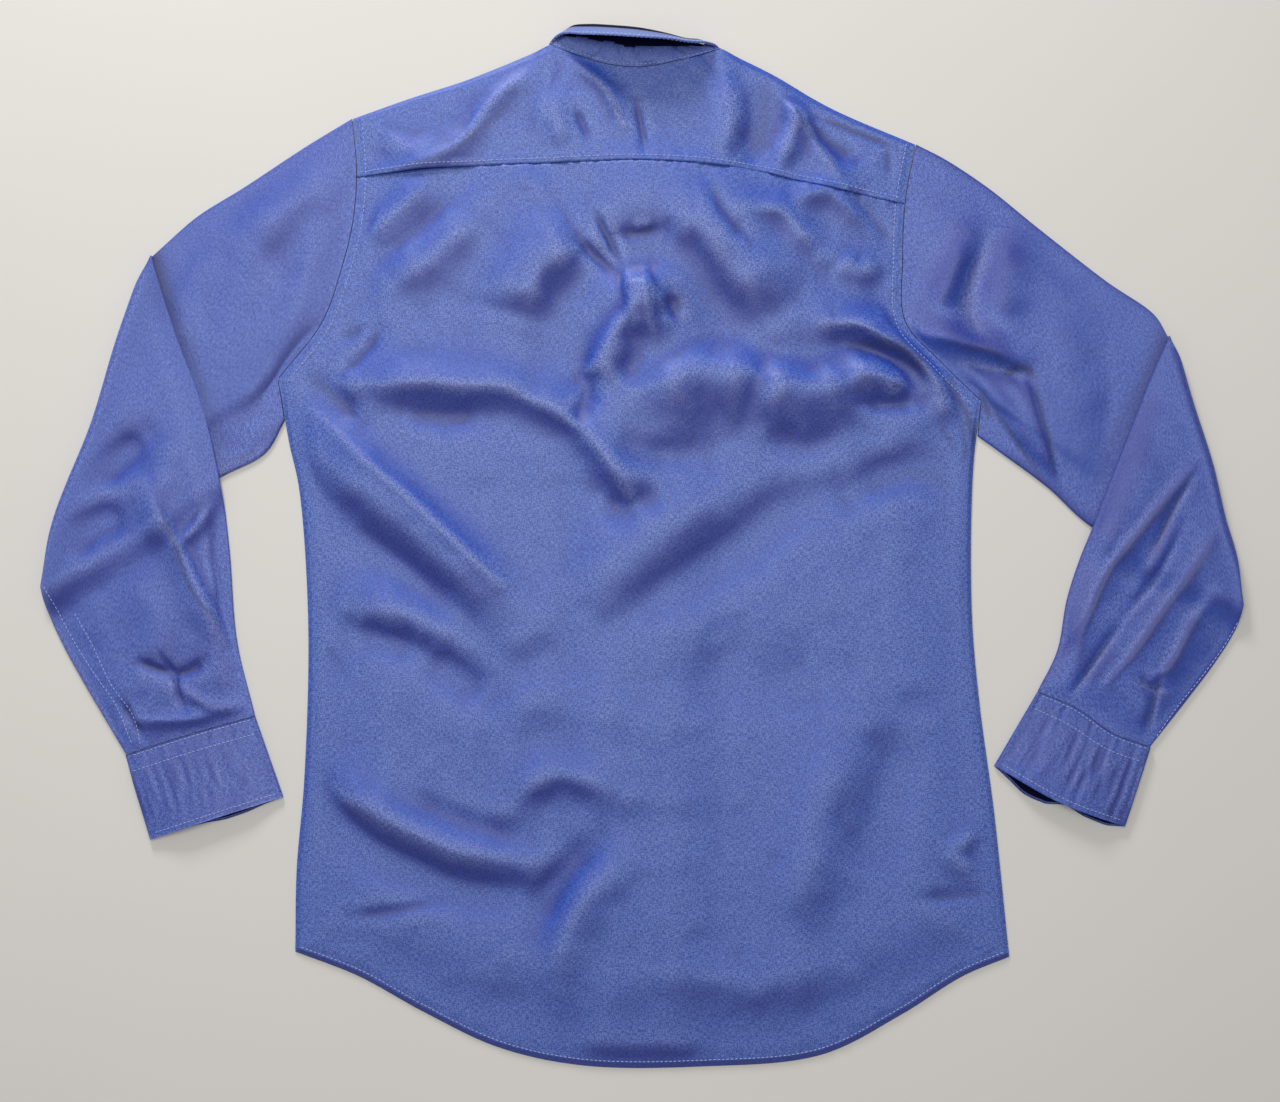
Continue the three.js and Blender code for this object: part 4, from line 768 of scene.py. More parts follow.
def yoke_grid():
    side = ROUNDED / BACK_WIDTH
    us = steps(round(BACK_WIDTH / CELL * YOKE_FINER[0]), side, 1 - side)
    vs = steps(round(YOKE_DEPTH / CELL * YOKE_FINER[1]), ROUNDED / YOKE_DEPTH)
    u, v = np.meshgrid(us, vs)
    plan = YOKE_OUTLINE(u, v)
    x, y = plan[..., 0], plan[..., 1]
    to_shoulder, to_seam = v * YOKE_DEPTH, (1 - v) * YOKE_DEPTH
    beside = (smoothstep(u, NECK_RIGHT_SHARE, NECK_RIGHT_SHARE + BESIDE_NECK)
              + fade(u, (NECK_LEFT_SHARE - BESIDE_NECK, NECK_LEFT_SHARE)))
    rolled = fade(to_shoulder, (0, EDGE_ROLL)) * beside
    inside = np.minimum(np.minimum(u, 1 - u) * BACK_WIDTH,
                        YOKE_RAMP[0] + to_shoulder + (1 - beside) * YOKE_RAMP[1])
    within = smoothstep(inside, *SETTLE_RAMP)
    raised = free(x, y, inside) + smoothstep(inside, *YOKE_RAMP) * fold_height(YOKE_FOLDS, x, y)
    raised += within * rumple(x, y, RUMPLE_SEED)
    level = over_fronts(x, y) + within * settled(raised)
    z = YOKE + lerp(level, np.maximum(0, LEAF_LIFT * over_leaf(x, y) - YOKE_TOUCH), rolled)
    z += YOKE_FOLD * fade(to_seam, YOKE_END) + seam_pucker(x, to_seam, 47, reach=7, height=0.3)
    return np.dstack([plan, z])


# --- Fronts and placket ---

NECK_FRONT = np.array([[66, 51], [66, 30], [54, -2], [32, -24], [14, -34], [0, -37]])


def neck_half(direction):
    return NECK + NECK_FRONT * [direction, 1]


NECK_RING_FRONT = edge(*neck_half(-1), *neck_half(1)[::-1][1:])
NECK_START, FRONT_START = 0.04, 0.03  # where a front starts on the neckline and the armhole
PLACKET_TOP = NECK[1] - 37.8
FRONT_HEM_MIDDLE = HEM_MIDDLE + HEM_STEP + 3
SHOULDER_SHARE = 0.6  # share of a front's top edge that is its shoulder
SIDE_KEPT, SIDE_RAMP = 0.965, 0.04  # a front's side ends there; it draws in over its first part
FRONT_WIDTH, FRONT_LENGTH, FRONT_CELL = 240, 660, 3.6
PLACKET_CELLS, PLACKET_LENGTH = 16, 680
RIGHT_UNDER_PLACKET = 1  # how far the right front reaches in under the placket


def front_grid(armhole, side, shoulder, inward, neckline, hem, middle, under):
    middle_share = share_at_x(neckline, middle)
    start = armhole(np.array(FRONT_START))
    outline = patch(
        chain((inset(shoulder, inward, start, neckline(np.array(NECK_START))), SHOULDER_SHARE),
              (part(neckline, NECK_START, middle_share), 1)),
        edge(side(np.array(1.0)), *hem, (middle, FRONT_HEM_MIDDLE)),
        chain((part(armhole, FRONT_START, 1), PIT), (side, 1)),
        edge(neckline(np.array(middle_share)), (middle, FRONT_HEM_MIDDLE)))
    u, v = np.meshgrid(steps(round(FRONT_WIDTH / FRONT_CELL), [SHOULDER_SHARE]),
                       steps(round(FRONT_LENGTH / FRONT_CELL), [PIT]))
    plan = outline(u, v)
    return np.dstack([plan, under(plan[..., 0], plan[..., 1])])


def front_left_grid():
    return front_grid(
        ARMHOLE_LEFT, part(offset(SIDE_LEFT, FRONT_INSET, SIDE_RAMP), 0, SIDE_KEPT), SHOULDER_LEFT,
        -FRONT_INSET, NECK_RING_FRONT, [(-215, -314), (-160, -342), (-100, -368)],
        -PLACKET_WIDTH / 2 - SEAM, left_front_under)


def front_right_grid():
    return front_grid(
        ARMHOLE_RIGHT, part(offset(SIDE_RIGHT, -FRONT_INSET, SIDE_RAMP), 0, SIDE_KEPT),
        turned(SHOULDER_RIGHT), FRONT_INSET, turned(NECK_RING_FRONT),
        [(240, -315), (190, -344), (130, -372), (60, -381)],
        -PLACKET_WIDTH / 2 + RIGHT_UNDER_PLACKET, right_front_under)


# --- Sleeves ---

SEWN = 0.4  # clearance of a sleeve along its armhole
ARMHOLE_SHARE = 0.88  # part of a sleeve's end that is sewn in
CROWDING = 1.4  # above 1 a crease's steps lie closer together at the crown
PIT_GRIP = 7  # keeps an upper sleeve's plan from folding over at the pit
EDGE_POINTS, CROWN_POINTS = 17, 33  # points of an edge from which distances are measured


def armhole_with_pit(armhole, tip):
    return chain((armhole, ARMHOLE_SHARE), (edge(armhole(np.array(1.0)), tip), 1))


def crowded(*points):
    line = edge(*points)
    return lambda t: line(np.asarray(t, float) ** CROWDING)


SLEEVES = {
    "left": dict(
        armhole=armhole_with_pit(offset(ARMHOLE_LEFT, -SEWN), (-275.1, 98)),
        crown=edge((-222.8, 332), (-259, 310), (-306, 279), (-344, 255), (-377, 225)),
        under=edge((-275.1, 98), (-290, 73), (-325, 54), (-395, 12), (-462, -31)),
        crease=crowded((-377, 225), (-400, 160), (-420, 94), (-440, 45), (-455, 5), (-462, -31)),
        fore_crown=edge((-377, 225), (-360, 169), (-339, 113), (-325, 54), (-318, 0), (-312, -72),
                        (-298, -130)),
        fore_under=edge((-462, -31), (-458, -50), (-447, -75), (-430, -106), (-398, -160)),
        cuff_line=edge((-298, -130), (-348, -144), (-398, -160)),
        hand=edge((-276, -193), (-328, -209), (-379, -226)),
        edge_dir=1, upper_folds=LEFT_UPPER_FOLDS, forearm_folds=LEFT_FOREARM_FOLDS,
        creases=LEFT_CREASE_SHADES, seed=61,
        lobes=(0, 1, 3, 3.4, 1.6, 0.4, 0, 0), mouth=2.5, ribs=0.28,
        # shade is the strength of the painted shadow beside the forearm's edge; dim darkens the cuff's
        # outer skin evenly towards the painted shade colour
        shade=0.8, dim=0.06,
        felled=([(-460, -28), (-441, -67), (-421, -99), (-405, -122), (-392, -154)],
                [(-438, -49), (-424, -74), (-409, -105), (-392, -130), (-386, -154)])),
    "right": dict(
        armhole=armhole_with_pit(offset(ARMHOLE_RIGHT, SEWN), (261.5, 86)),
        crown=edge((213.8, 312), (237, 300), (270, 278), (306, 249), (361, 206), (398, 180),
                   (408, 163)),
        under=edge((261.5, 86), (281, 72), (316, 46), (348, 17), (407, -14), (465, -45)),
        crease=crowded((408, 163), (423, 111), (438, 64), (449, 18), (460, -15), (465, -45)),
        fore_crown=edge((408, 163), (397, 138), (380, 94), (350, 17), (331, -38), (323, -80),
                        (308, -111)),
        fore_under=edge((465, -45), (460, -65), (446, -88), (425, -116), (395, -154)),
        cuff_line=edge((308, -111), (338, -124), (365, -143), (395, -154)),
        hand=edge((274, -169), (322, -196), (375, -216)),
        edge_dir=-1, upper_folds=RIGHT_UPPER_FOLDS, forearm_folds=RIGHT_FOREARM_FOLDS,
        creases=RIGHT_CREASE_SHADES, seed=71,
        lobes=(0, 3.4, 6.6, 5.4, 0.4, 3.2, 4, 0), mouth=5, ribs=0.7,
        # shade is the strength of the painted shadow beside the forearm's edge; dim darkens the cuff's
        # outer skin evenly towards the painted shade colour
        shade=0.55, dim=0.16,
        felled=([(462, -56), (455, -71), (436, -98), (415, -124), (397, -150)],)),
}

REST_GAP = 0.8  # clearance of the forearm over the upper half
LEAVES_AT = 2  # how far past the upper half's edge the forearm starts to sink to the floor
SLEEVE_CELL = 2.2
UPPER_LENGTH, FOREARM_LENGTH, SLEEVE_WIDTH = 190, 250, 165
SLEEVE_ROUND = 0.009  # share of a sleeve's width that its rounded side takes
ROUND_STEPS = 5  # points round each side fold of a tube
TURN_STEPS, TURN_ENDS = 8, (0.125, 0.875)  # rings over a sleeve's crease, and their share of it
SIDE_AIR, SIDE_FOLDS = (0.02, 0.2), (0, 0.08)  # shares of the width over which they rise
UPPER = dict(air=((0, 0.2), (0.45, 0.75)), folds=((0, 0.05), (0.7, 0.95)))
FOREARM = dict(air=((0.02, 0.2), (0.85, 1)), folds=((0.02, 0.12), (0.96, 1)))
SHADE_REACH = 8  # half the width of the painted shadow beside the forearm's edge
SHADE_LOSS, SHADE_RAMP = 0.7, (0.05, 0.5)  # it weakens by this much along the edge
RING_LAP = 3  # points of a ring that are repeated past its ends while its tone is found


def tube_loop(count, high, rounding):
    """Places (t, h) round a flat tube, from its first side along the bottom and back on top."""
    low = np.linspace(rounding, 1 - rounding, count + 1)
    turn = np.pi * np.arange(1, ROUND_STEPS + 1) / (ROUND_STEPS + 1)
    t = np.concatenate([low, 1 - rounding + rounding * np.sin(turn), low[::-1],
                        rounding - rounding * np.sin(turn)])
    arc = high / 2 * (1 - np.cos(turn))
    h = np.concatenate([0 * low, arc, 0 * low + high, high - arc])
    return t, h


def puffed(half, rows, seed, s, t, x, y):
    """Height of the air and the folds in one half of a sleeve."""
    to_side = np.minimum(t, 1 - t)
    (rise, fall), (start, end) = half["air"], half["folds"]
    air = smoothstep(s, *rise) * fade(s, fall) * smoothstep(to_side, *SIDE_AIR) * SLEEVE_PUFF
    shown = smoothstep(s, *start) * fade(s, end) * smoothstep(to_side, *SIDE_FOLDS)
    return np.maximum(0, air + shown * (fold_height(rows, x, y) + rumple(x, y, seed)))


def sleeve_grid(row):
    upper = patch(row["armhole"], row["crease"], row["crown"], row["under"], PIT_GRIP)
    forearm = patch(row["crease"], row["cuff_line"], row["fore_crown"], row["fore_under"])
    crease_line, under_line = (row[key](np.linspace(0, 1, EDGE_POINTS))
                               for key in ("crease", "under"))

    def near_crease(x, y):
        return fade(nearest(crease_line, x, y)[0], (0, CREASE_REACH))

    def top_share(h):
        return np.clip((h - SLEEVE) / HOLLOW, 0, 1)

    def upper_points(s, t, h):
        plan = upper(t, s)
        x, y = plan[..., 0], plan[..., 1]
        raised = puffed(UPPER, row["upper_folds"], row["seed"], s, t, x, y)
        return np.dstack([plan, h + top_share(h) * (raised + CREASE_PUFF * near_crease(x, y))])

    def turn_points(turn, t, h):
        start = upper_points(np.ones_like(t), t, h)
        away = offset(row["crease"], -row["edge_dir"])(t) - row["crease"](t)
        radius = CREASE_AXIS - start[..., 2]
        out = radius * np.sin(turn * np.pi) * smoothstep(np.minimum(t, 1 - t), 0, CREASE_CORNER)
        return np.dstack([start[..., :2] + away * out[..., None],
                          CREASE_AXIS - radius * np.cos(turn * np.pi)])

    def forearm_points(s, t, h):
        plan = forearm(t, s)
        x, y = plan[..., 0], plan[..., 1]
        far, side, _ = nearest(under_line, x, y)
        beyond = np.where(side * row["edge_dir"] > 0, far, 0)
        rest = lerp(TUBE_HIGH + REST_GAP, 2 * CREASE_AXIS - TUBE_HIGH - CREASE_PUFF, near_crease(x, y))
        raised = puffed(FOREARM, row["forearm_folds"], row["seed"] + 5, s, t, x, y)
        crest = (1 - top_share(h)) * (raised + CREASE_PUFF * near_crease(x, y))
        return np.dstack([plan, rest * fade(beyond, (LEAVES_AT, DROP)) + TUBE_HIGH - h + crest])

    across, upper_rows = round(SLEEVE_WIDTH / SLEEVE_CELL), round(UPPER_LENGTH / SLEEVE_CELL)
    t, h = tube_loop(across, TUBE_HIGH, SLEEVE_ROUND)
    rows = []
    for count, points, ends in (
        (upper_rows, upper_points, (0, 1)),
        (TURN_STEPS, turn_points, TURN_ENDS),
        (round(FOREARM_LENGTH / SLEEVE_CELL), forearm_points, (0, 1)),
    ):
        s, tt = np.meshgrid(np.linspace(*ends, count), t, indexing="ij")
        rows.append(points(s, tt, np.broadcast_to(h, tt.shape)))
    grid = np.vstack(rows)
    width = np.linalg.norm(grid[:, 0] - grid[:, across], axis=1)
    along = run_of(grid[:, len(t) // 4])
    cloth = np.stack(np.broadcast_arrays((t - 0.5) * width[:, None], along[:, None]), -1)
    # Painted shadow: the upper half beside the forearm's edge is darkened, where that edge keeps the
    # light off it.
    crown_line = row["fore_crown"](np.linspace(0, 1, CROWN_POINTS))
    far, _, down = nearest(crown_line, grid[..., 0], grid[..., 1])
    depth = row["shade"] * np.exp(-((far / SHADE_REACH) ** 2))
    depth *= 1 - SHADE_LOSS * smoothstep(down, *SHADE_RAMP)
    depth[upper_rows:] = 0
    depth = np.maximum(depth, crease_shade(row["creases"], grid[..., 0], grid[..., 1]))
    # Only the skin that faces up has them: the forearm's is the other one of the upper half's.
    upper_half = np.arange(len(grid))[:, None] < upper_rows + TURN_STEPS / 2
    from_below = np.where(upper_half, h, TUBE_HIGH - h)
    return grid, cloth, depth * (from_below > TUBE_HIGH / 2)


def painted_light_round(grid):
    """The painted light and shade of rings of points, each of which meets its own start."""
    wrapped = np.concatenate([grid[:, -RING_LAP:], grid, grid[:, :RING_LAP]], axis=1)
    return painted_light_of(wrapped[:, ::-1])[:, ::-1][:, RING_LAP:-RING_LAP]


def tube(name, grid, cloth, depth, *materials):
    """The outer skin of a tube of cloth, from rings of points."""
    quads = grid_quads(*grid.shape[:2], closed=True)[:, ::-1]
    painted_light = np.dstack([painted_light_round(grid), depth])
    return build(name, grid.reshape(-1, 3), [quads], cloth.reshape(-1, 2), painted_light.reshape(-1, 4),
                 *materials)


# --- Cuffs ---

CUFF_BUTTON = (0.72, 0.5)  # place of the button, across and down
CUFF_LIFT = BUTTON_THICK + LAYER
CUFF_PUFF = 1.5
CUFF_WIDTH, CUFF_LENGTH = 107, 66
CUFF_HIGH = 2 * CUFF + HOLLOW
CUFF_CELLS, CUFF_ROUND = (84, 44), 0.016  # across and down; its rounded side's share of the width
CUFF_SEAM = 0.006  # clearance at the sleeve, as a share of the cuff's length
LIFT_UNDER, LIFT_TOP = (13, 30), (13, 75)  # distances from the button over which a skin sinks
CUFF_RISE, CUFF_EDGE = (0, 0.4), (0, 0.05)  # shares of its length over which air and ribs rise
CUFF_RUMPLE, FINE_RIBS = 0.6, 0.12
CUFF_MOUTH, CUFF_MOUTH_SHADE = (0.93, 1), 0.35  # the last of its length, where the inside takes less painted shade


def in_middle(t):
    return smoothstep(np.minimum(t, 1 - t), 0, 0.3)


def cuff_plan(row):
    def seam(t):
        return lerp(row["cuff_line"](t), row["hand"](t), CUFF_SEAM)
    ends = [(seam(np.array(t)), row["hand"](np.array(t))) for t in (0, 1)]
    sides = [lambda s, a=a, b=b: lerp(a, b, np.asarray(s, float)[..., None]) for a, b in ends]
    return patch(seam, row["hand"], *sides)


def cuff_button_place(row):
    return cuff_plan(row)(np.array([CUFF_BUTTON[0]]), np.array([CUFF_BUTTON[1]]))[0]


def cuff_grid(row, depth):
    """Rings of a cuff, a given depth inside its outer skin."""
    outline, button = cuff_plan(row), cuff_button_place(row)
    t, h = tube_loop(CUFF_CELLS[0], CUFF_HIGH, CUFF_ROUND)
    h = np.clip(h, depth, CUFF_HIGH - depth)
    inner = depth * CUFF_ROUND / 2
    t = np.clip(t, inner, 1 - inner)
    s, tt = np.meshgrid(np.linspace(0, 1, CUFF_CELLS[1]), t, indexing="ij")
    hh = np.broadcast_to(h, tt.shape)
    under = 1 - np.clip((hh - CUFF) / HOLLOW, 0, 1)
    lobes = spline(*((reach,) for reach in row["lobes"]))(tt)[..., 0] / CUFF_LENGTH
    plan = outline(tt, s * (1 + under * lobes))
    far = np.linalg.norm(plan - button, axis=-1)
    lift = CUFF_LIFT * lerp(fade(far, LIFT_TOP), fade(far, LIFT_UNDER), under)
    air = (CUFF_PUFF + row["mouth"] * s**3) * in_middle(tt) * smoothstep(s, *CUFF_RISE) * (1 - under)
    across, down = tt * CUFF_WIDTH, s * CUFF_LENGTH
    fine = rumple(plan[..., 0], plan[..., 1], row["seed"] + 9, CUFF_RUMPLE)
    for stretch, size, more, height in ((12, 4.5, 3, row["ribs"]), (9, 2.4, 4, FINE_RIBS)):
        fine += noise(across, s * stretch, size, row["seed"] + more) * height
    fine += seam_pucker(across, down, 91) + seam_pucker(across, CUFF_LENGTH - down, 92)
    fine *= (1 - under) * smoothstep(np.minimum(s, 1 - s), *CUFF_EDGE)
    grid = np.dstack([plan, lift + hh + air + fine])
    return grid, np.stack(np.broadcast_arrays((t - 0.5) * CUFF_WIDTH, down), -1)


def cuff(name, row, *materials):
    outer, cloth = cuff_grid(row, 0)
    inner, _ = cuff_grid(row, CUFF)
    rows, cols = outer.shape[:2]
    start = rows * cols
    first, last = np.arange(cols), start - cols + np.arange(cols)
    quads = [grid_quads(rows, cols, closed=True)[:, ::-1], grid_quads(rows, cols, start, closed=True),
             band(first, start + first), band(last, start + last)[:, ::-1]]
    painted_light = painted_light_round(outer).reshape(-1, 3)
    # Painted shade: the inner skin is darkened near to black, less at the mouth; the outer skin is
    # darkened evenly by the row's dim.
    shaded = lerp(1, CUFF_MOUTH_SHADE, smoothstep(np.linspace(0, 1, rows), *CUFF_MOUTH))
    painted_lights = [np.column_stack([painted_light, np.repeat(depth, cols)])
             for depth in (0 * shaded + row["dim"], shaded)]
    points = np.vstack([outer.reshape(-1, 3), inner.reshape(-1, 3)])
    flat = cloth.reshape(-1, 2)
    return build(name, points, quads, np.vstack([flat, flat]), np.vstack(painted_lights), *materials)


# --- Collar ---

STAND_PUFF = 0.6
STAND_HIGH = 2 * COLLAR + HOLLOW
STAND_CELLS, STAND_ROUND = (90, 22), 0.012  # along and up; its rounded ends' share of its length
STAND_LENGTH, STAND_WIDTH = 200, 30
STAND_RUMPLE, STAND_LUMPS = 0.9, (150, 12, 7, 81)  # height; stretch each way, size and seed
STAND_RISE = (0, 0.2)  # share of its width over which the rumples rise from the seam
STAND_DARK = (0.5, 0.62)  # its upper part takes painted shade, as it lies in the dark under the leaf
DARK_WAVE, DARK_LUMPS = 0.05, (60, 3, 83)  # how far that painted shade's edge wanders; stretch, size, seed
STAND_STITCH = 0.07  # place of the stitches across the stand
STAND_BACK_TOP = edge((-52, 400), (-40, 401.5), (-20, 400.5), (0, 398.5), (20, 394.5), (36, 390.5),
                      (43, 390))
STAND_FRONT_TOP = edge((-52, 400), (-42, 372), (-30, 350), (-16, 336), (-3, 332), (10, 335),
                       (22, 348), (34, 368), (43, 390))


def stand_grid():
    t, h = tube_loop(STAND_CELLS[0], STAND_HIGH, STAND_ROUND)
    s, tt = np.meshgrid(np.linspace(0, 1, STAND_CELLS[1]), t, indexing="ij")
    hh = np.broadcast_to(h, tt.shape)
    share = np.clip((hh - COLLAR) / HOLLOW, 0, 1)
    back = lerp(offset(NECK_BACK, 2 * SEAM)(tt), STAND_BACK_TOP(tt), s[..., None])
    front = lerp(offset(NECK_RING_FRONT, SEAM)(tt), STAND_FRONT_TOP(tt), s[..., None])
    plan = lerp(front, back, share[..., None])
    along, up, size, seed = STAND_LUMPS
    fine = smoothstep(s, *STAND_RISE) * STAND_RUMPLE * noise(tt * along, s * up, size, seed)
    z = STAND_LIFT + hh + share * in_middle(tt) * (STAND_PUFF + fine)
    cloth = np.stack(np.broadcast_arrays(tt * STAND_LENGTH, s * STAND_WIDTH), -1)
    # Painted shade over the stand's upper part, under the leaf, with a wandering edge.
    along, size, seed = DARK_LUMPS
    wave = DARK_WAVE * noise(tt * along, 0 * s, size, seed)
    return np.dstack([plan, z]), cloth, smoothstep(s + wave, *STAND_DARK)


def stand_seam(t):
    """The line of stitches that joins the stand to the yoke."""
    return lerp(offset(NECK_BACK, 2 * SEAM)(t), STAND_BACK_TOP(t), STAND_STITCH)


LEAF = [
    # root x, y, z            free x, y, z
    ((-9, 333, 0.9), (-50, 264, 0.9)),
    ((-30, 346, 0.9), (-77, 300, 0.9)),
    ((-44, 366, 0.9), (-87, 338, 0.9)),
    ((-55, 386, 0.9), (-82, 368, 0.9)),
    ((-56, 393, 1.1), (-75, 380, 1.1)),
    ((-57, 399, 2.2), (-69, 391, 2.6)),
    ((-52, 402.5, 4.6), (-60, 394, 14)),
    ((-40, 403.5, 5.4), (-44, 390, 27)),
    ((-20, 402.5, 5.8), (-22, 387, 35)),
    ((0, 400.5, 6.2), (0, 385, 37)),
    ((20, 396.5, 6.2), (21, 384.5, 34)),
    ((36, 392.5, 5.8), (38, 384.5, 26)),
    ((45, 392, 4.8), (52, 387, 14)),
    ((49, 391, 2.2), (61, 386.5, 2.6)),
    ((50, 386, 1.1), (66, 378, 1.1)),
    ((48, 381, 0.9), (77, 364, 0.9)),
    ((38, 366, 0.9), (81, 338, 0.9)),
    ((24, 346, 0.9), (71, 300, 0.9)),
    ((3, 333, 0.9), (44, 264, 0.9)),
]


LEAF_POINTS = (181, 25)  # along the leaf, and from its root to its free edge
LEAF_LENGTH, LEAF_WIDTH = 420, 62
LEAF_THIN, LEAF_EDGE = 0.5, (0, 1.5)  # share of its wall lost at the free edge; points over which
LEAF_SHADE = (0.1, 0.5)  # painted shade on its inner side fades out over these shares of its width
LEAF_STITCH = 0.91  # place of the stitches across the leaf, from its root to its free edge


def leaf_sides():
    root, free_edge = (spline(*points) for points in zip(*LEAF))
    t, w = np.meshgrid(*(np.linspace(0, 1, count) for count in LEAF_POINTS), indexing="ij")
    middle = lerp(root(t), free_edge(t), w[..., None])
    normal = np.cross(np.gradient(middle, axis=0), np.gradient(middle, axis=1))
    normal /= np.linalg.norm(normal, axis=-1, keepdims=True)
    return middle, normal, np.stack([t * LEAF_LENGTH, w * LEAF_WIDTH], -1)


def collar_leaf(*materials):
    middle, normal, cloth = leaf_sides()
    rows, cols = middle.shape[:2]
    rounded = 1 - LEAF_THIN * (1 - smoothstep(np.arange(cols)[::-1], *LEAF_EDGE))
    sides = [middle + sign * normal * COLLAR / 2 * rounded[None, :, None] for sign in (1, -1)]
    start = rows * cols
    ring = border(rows, cols)
    quads = [grid_quads(rows, cols)[:, ::-1], grid_quads(rows, cols, start), band(ring, start + ring)]
    outer, inner = (np.outer(np.ones(start), [EVEN, 0, 0, 0]) for _ in sides)
    # Painted shade on the inner side, darkest at the root.
    inner[:, 3] = np.tile(1 - smoothstep(np.arange(cols) / cols, *LEAF_SHADE), rows)
    flat = cloth.reshape(-1, 2)
    return build("collar_leaf_cloth", np.vstack([side.reshape(-1, 3) for side in sides]), quads,
                 np.vstack([flat, flat]), np.vstack([outer, inner]), *materials)


def sew_leaf(material):
    """Stitches along the free edge of the leaf, on its outer and inner side."""
    middle, normal, _ = leaf_sides()
    column = round(LEAF_STITCH * (middle.shape[1] - 1))
    pairs = []
    for out in (normal[:, column], -normal[:, column]):
        pairs += along_path(middle[:, column] + out * COLLAR / 2, out)
    return stitches("stitches_collar", pairs, material)


# --- Materials ---

THREAD = 0.55  # width of one group of threads of the oxford weave
WARP_TINT, WEFT_TINT = (0.0, 0.18, 0.54, 1), (2.5, 1.77, 1.36, 1)  # against the mean of both
SLUBS = ((1400, 350, 1), (350, 1400, 1), (1500, 1500, 1))  # uneven threads: lumps to a metre
GRAIN, GRAIN_SHARE = (1.38, 1.62), 0.7  # spread of the slubs' sum; how much weft they bring up
WEAVE, WEAVE_SHARE = (-0.25, 0.25), 0.3  # the same for the threads' even over and under
CLOUDS, CLOUD_SHARE = (0.4, 0.7), 0.1  # the same for the large drift towards the vivid blue
LIT, SHADED, CREST_HIGHLIGHT, DIP_SHADE = 0.9, 0.85, 0.25, 0.7  # most that each form takes of its own colour: painted light on lit slopes, painted shade on shaded slopes, a painted highlight on crests and painted shade in dips
DEEP_SHADE, DEEP_SHADE_SHARE = (6, 16, 84), 0.94  # painted shade between two layers, along creases and beside the forearm's edge; most that shows of it
# Blues: mid is the cloth's own colour; the vivid one is both its random drift and the painted light on
# lit slopes; the navy one is painted shade on shaded slopes and in dips; pale is the painted highlight
# on crests.
BODY_BLUE = dict(mid=(61, 97, 180), vivid_lit=(0, 66, 176), navy_shade=(10, 40, 142), pale=(118, 144, 202))
SLEEVE_BLUE = dict(mid=(62, 94, 181), vivid_lit=(6, 62, 170), navy_shade=(14, 42, 144), pale=(112, 138, 203))
SHADER_NAMES = {"sheen": "Sheen Weight", "sheen_rough": "Sheen Roughness",
                "specular": "Specular IOR Level", "rough": "Roughness", "coat": "Coat Weight",
                "coat_rough": "Coat Roughness"}


def linear(color):
    """A colour given in sRGB from 0 to 255, as linear values."""
    c = np.array(color) / 255
    return (*np.where(c < 0.04045, c / 12.92, ((c + 0.055) / 1.055) ** 2.4), 1.0)


class Nodes:
    """A material's node tree, with short ways to add and join nodes."""

    def __init__(self, name):
        self.material = bpy.data.materials.new(name)
        self.material.use_nodes = True
        self.tree = self.material.node_tree
        self.shader = self.tree.nodes["Principled BSDF"]

    def add(self, kind, values=(), **settings):
        node = self.tree.nodes.new("ShaderNode" + kind)
        for key, value in settings.items():
            setattr(node, key, value)
        for socket, value in dict(values).items():
            self.put(node.inputs[socket], value)
        return node

    def put(self, socket, value):
        if isinstance(value, bpy.types.NodeSocket):
            self.tree.links.new(value, socket)
        else:
            socket.default_value = value

    def math(self, operation, *values):
        return self.add("Math", enumerate(values), operation=operation).outputs[0]

    def mix(self, share, a, b, blend="MIX"):
        values = {"Factor": share, 6: a, 7: b}
        return self.add("Mix", data_type="RGBA", blend_type=blend, values=values).outputs[2]

    def noise(self, vector, scale, detail=2.0, roughness=0.5):
        values = {"Vector": vector, "Scale": scale, "Detail": detail, "Roughness": roughness}
        return self.add("TexNoise", values).outputs["Fac"]

    def range(self, value, *limits):
        """A value between the first two limits, brought to between the last two."""
        return self.add("MapRange", enumerate((value, *limits))).outputs[0]

    def bump(self, strength, distance, height, **under):
        values = {"Strength": strength, "Distance": distance, "Height": height, **under}
        return self.add("Bump", values).outputs[0]

    def finish(self, color, bump=None, **shader):
        self.put(self.shader.inputs["Base Color"], color)
        if bump is not None:
            self.put(self.shader.inputs["Normal"], bump)
        for key, value in shader.items():
            self.shader.inputs[SHADER_NAMES[key]].default_value = value
        return self.material


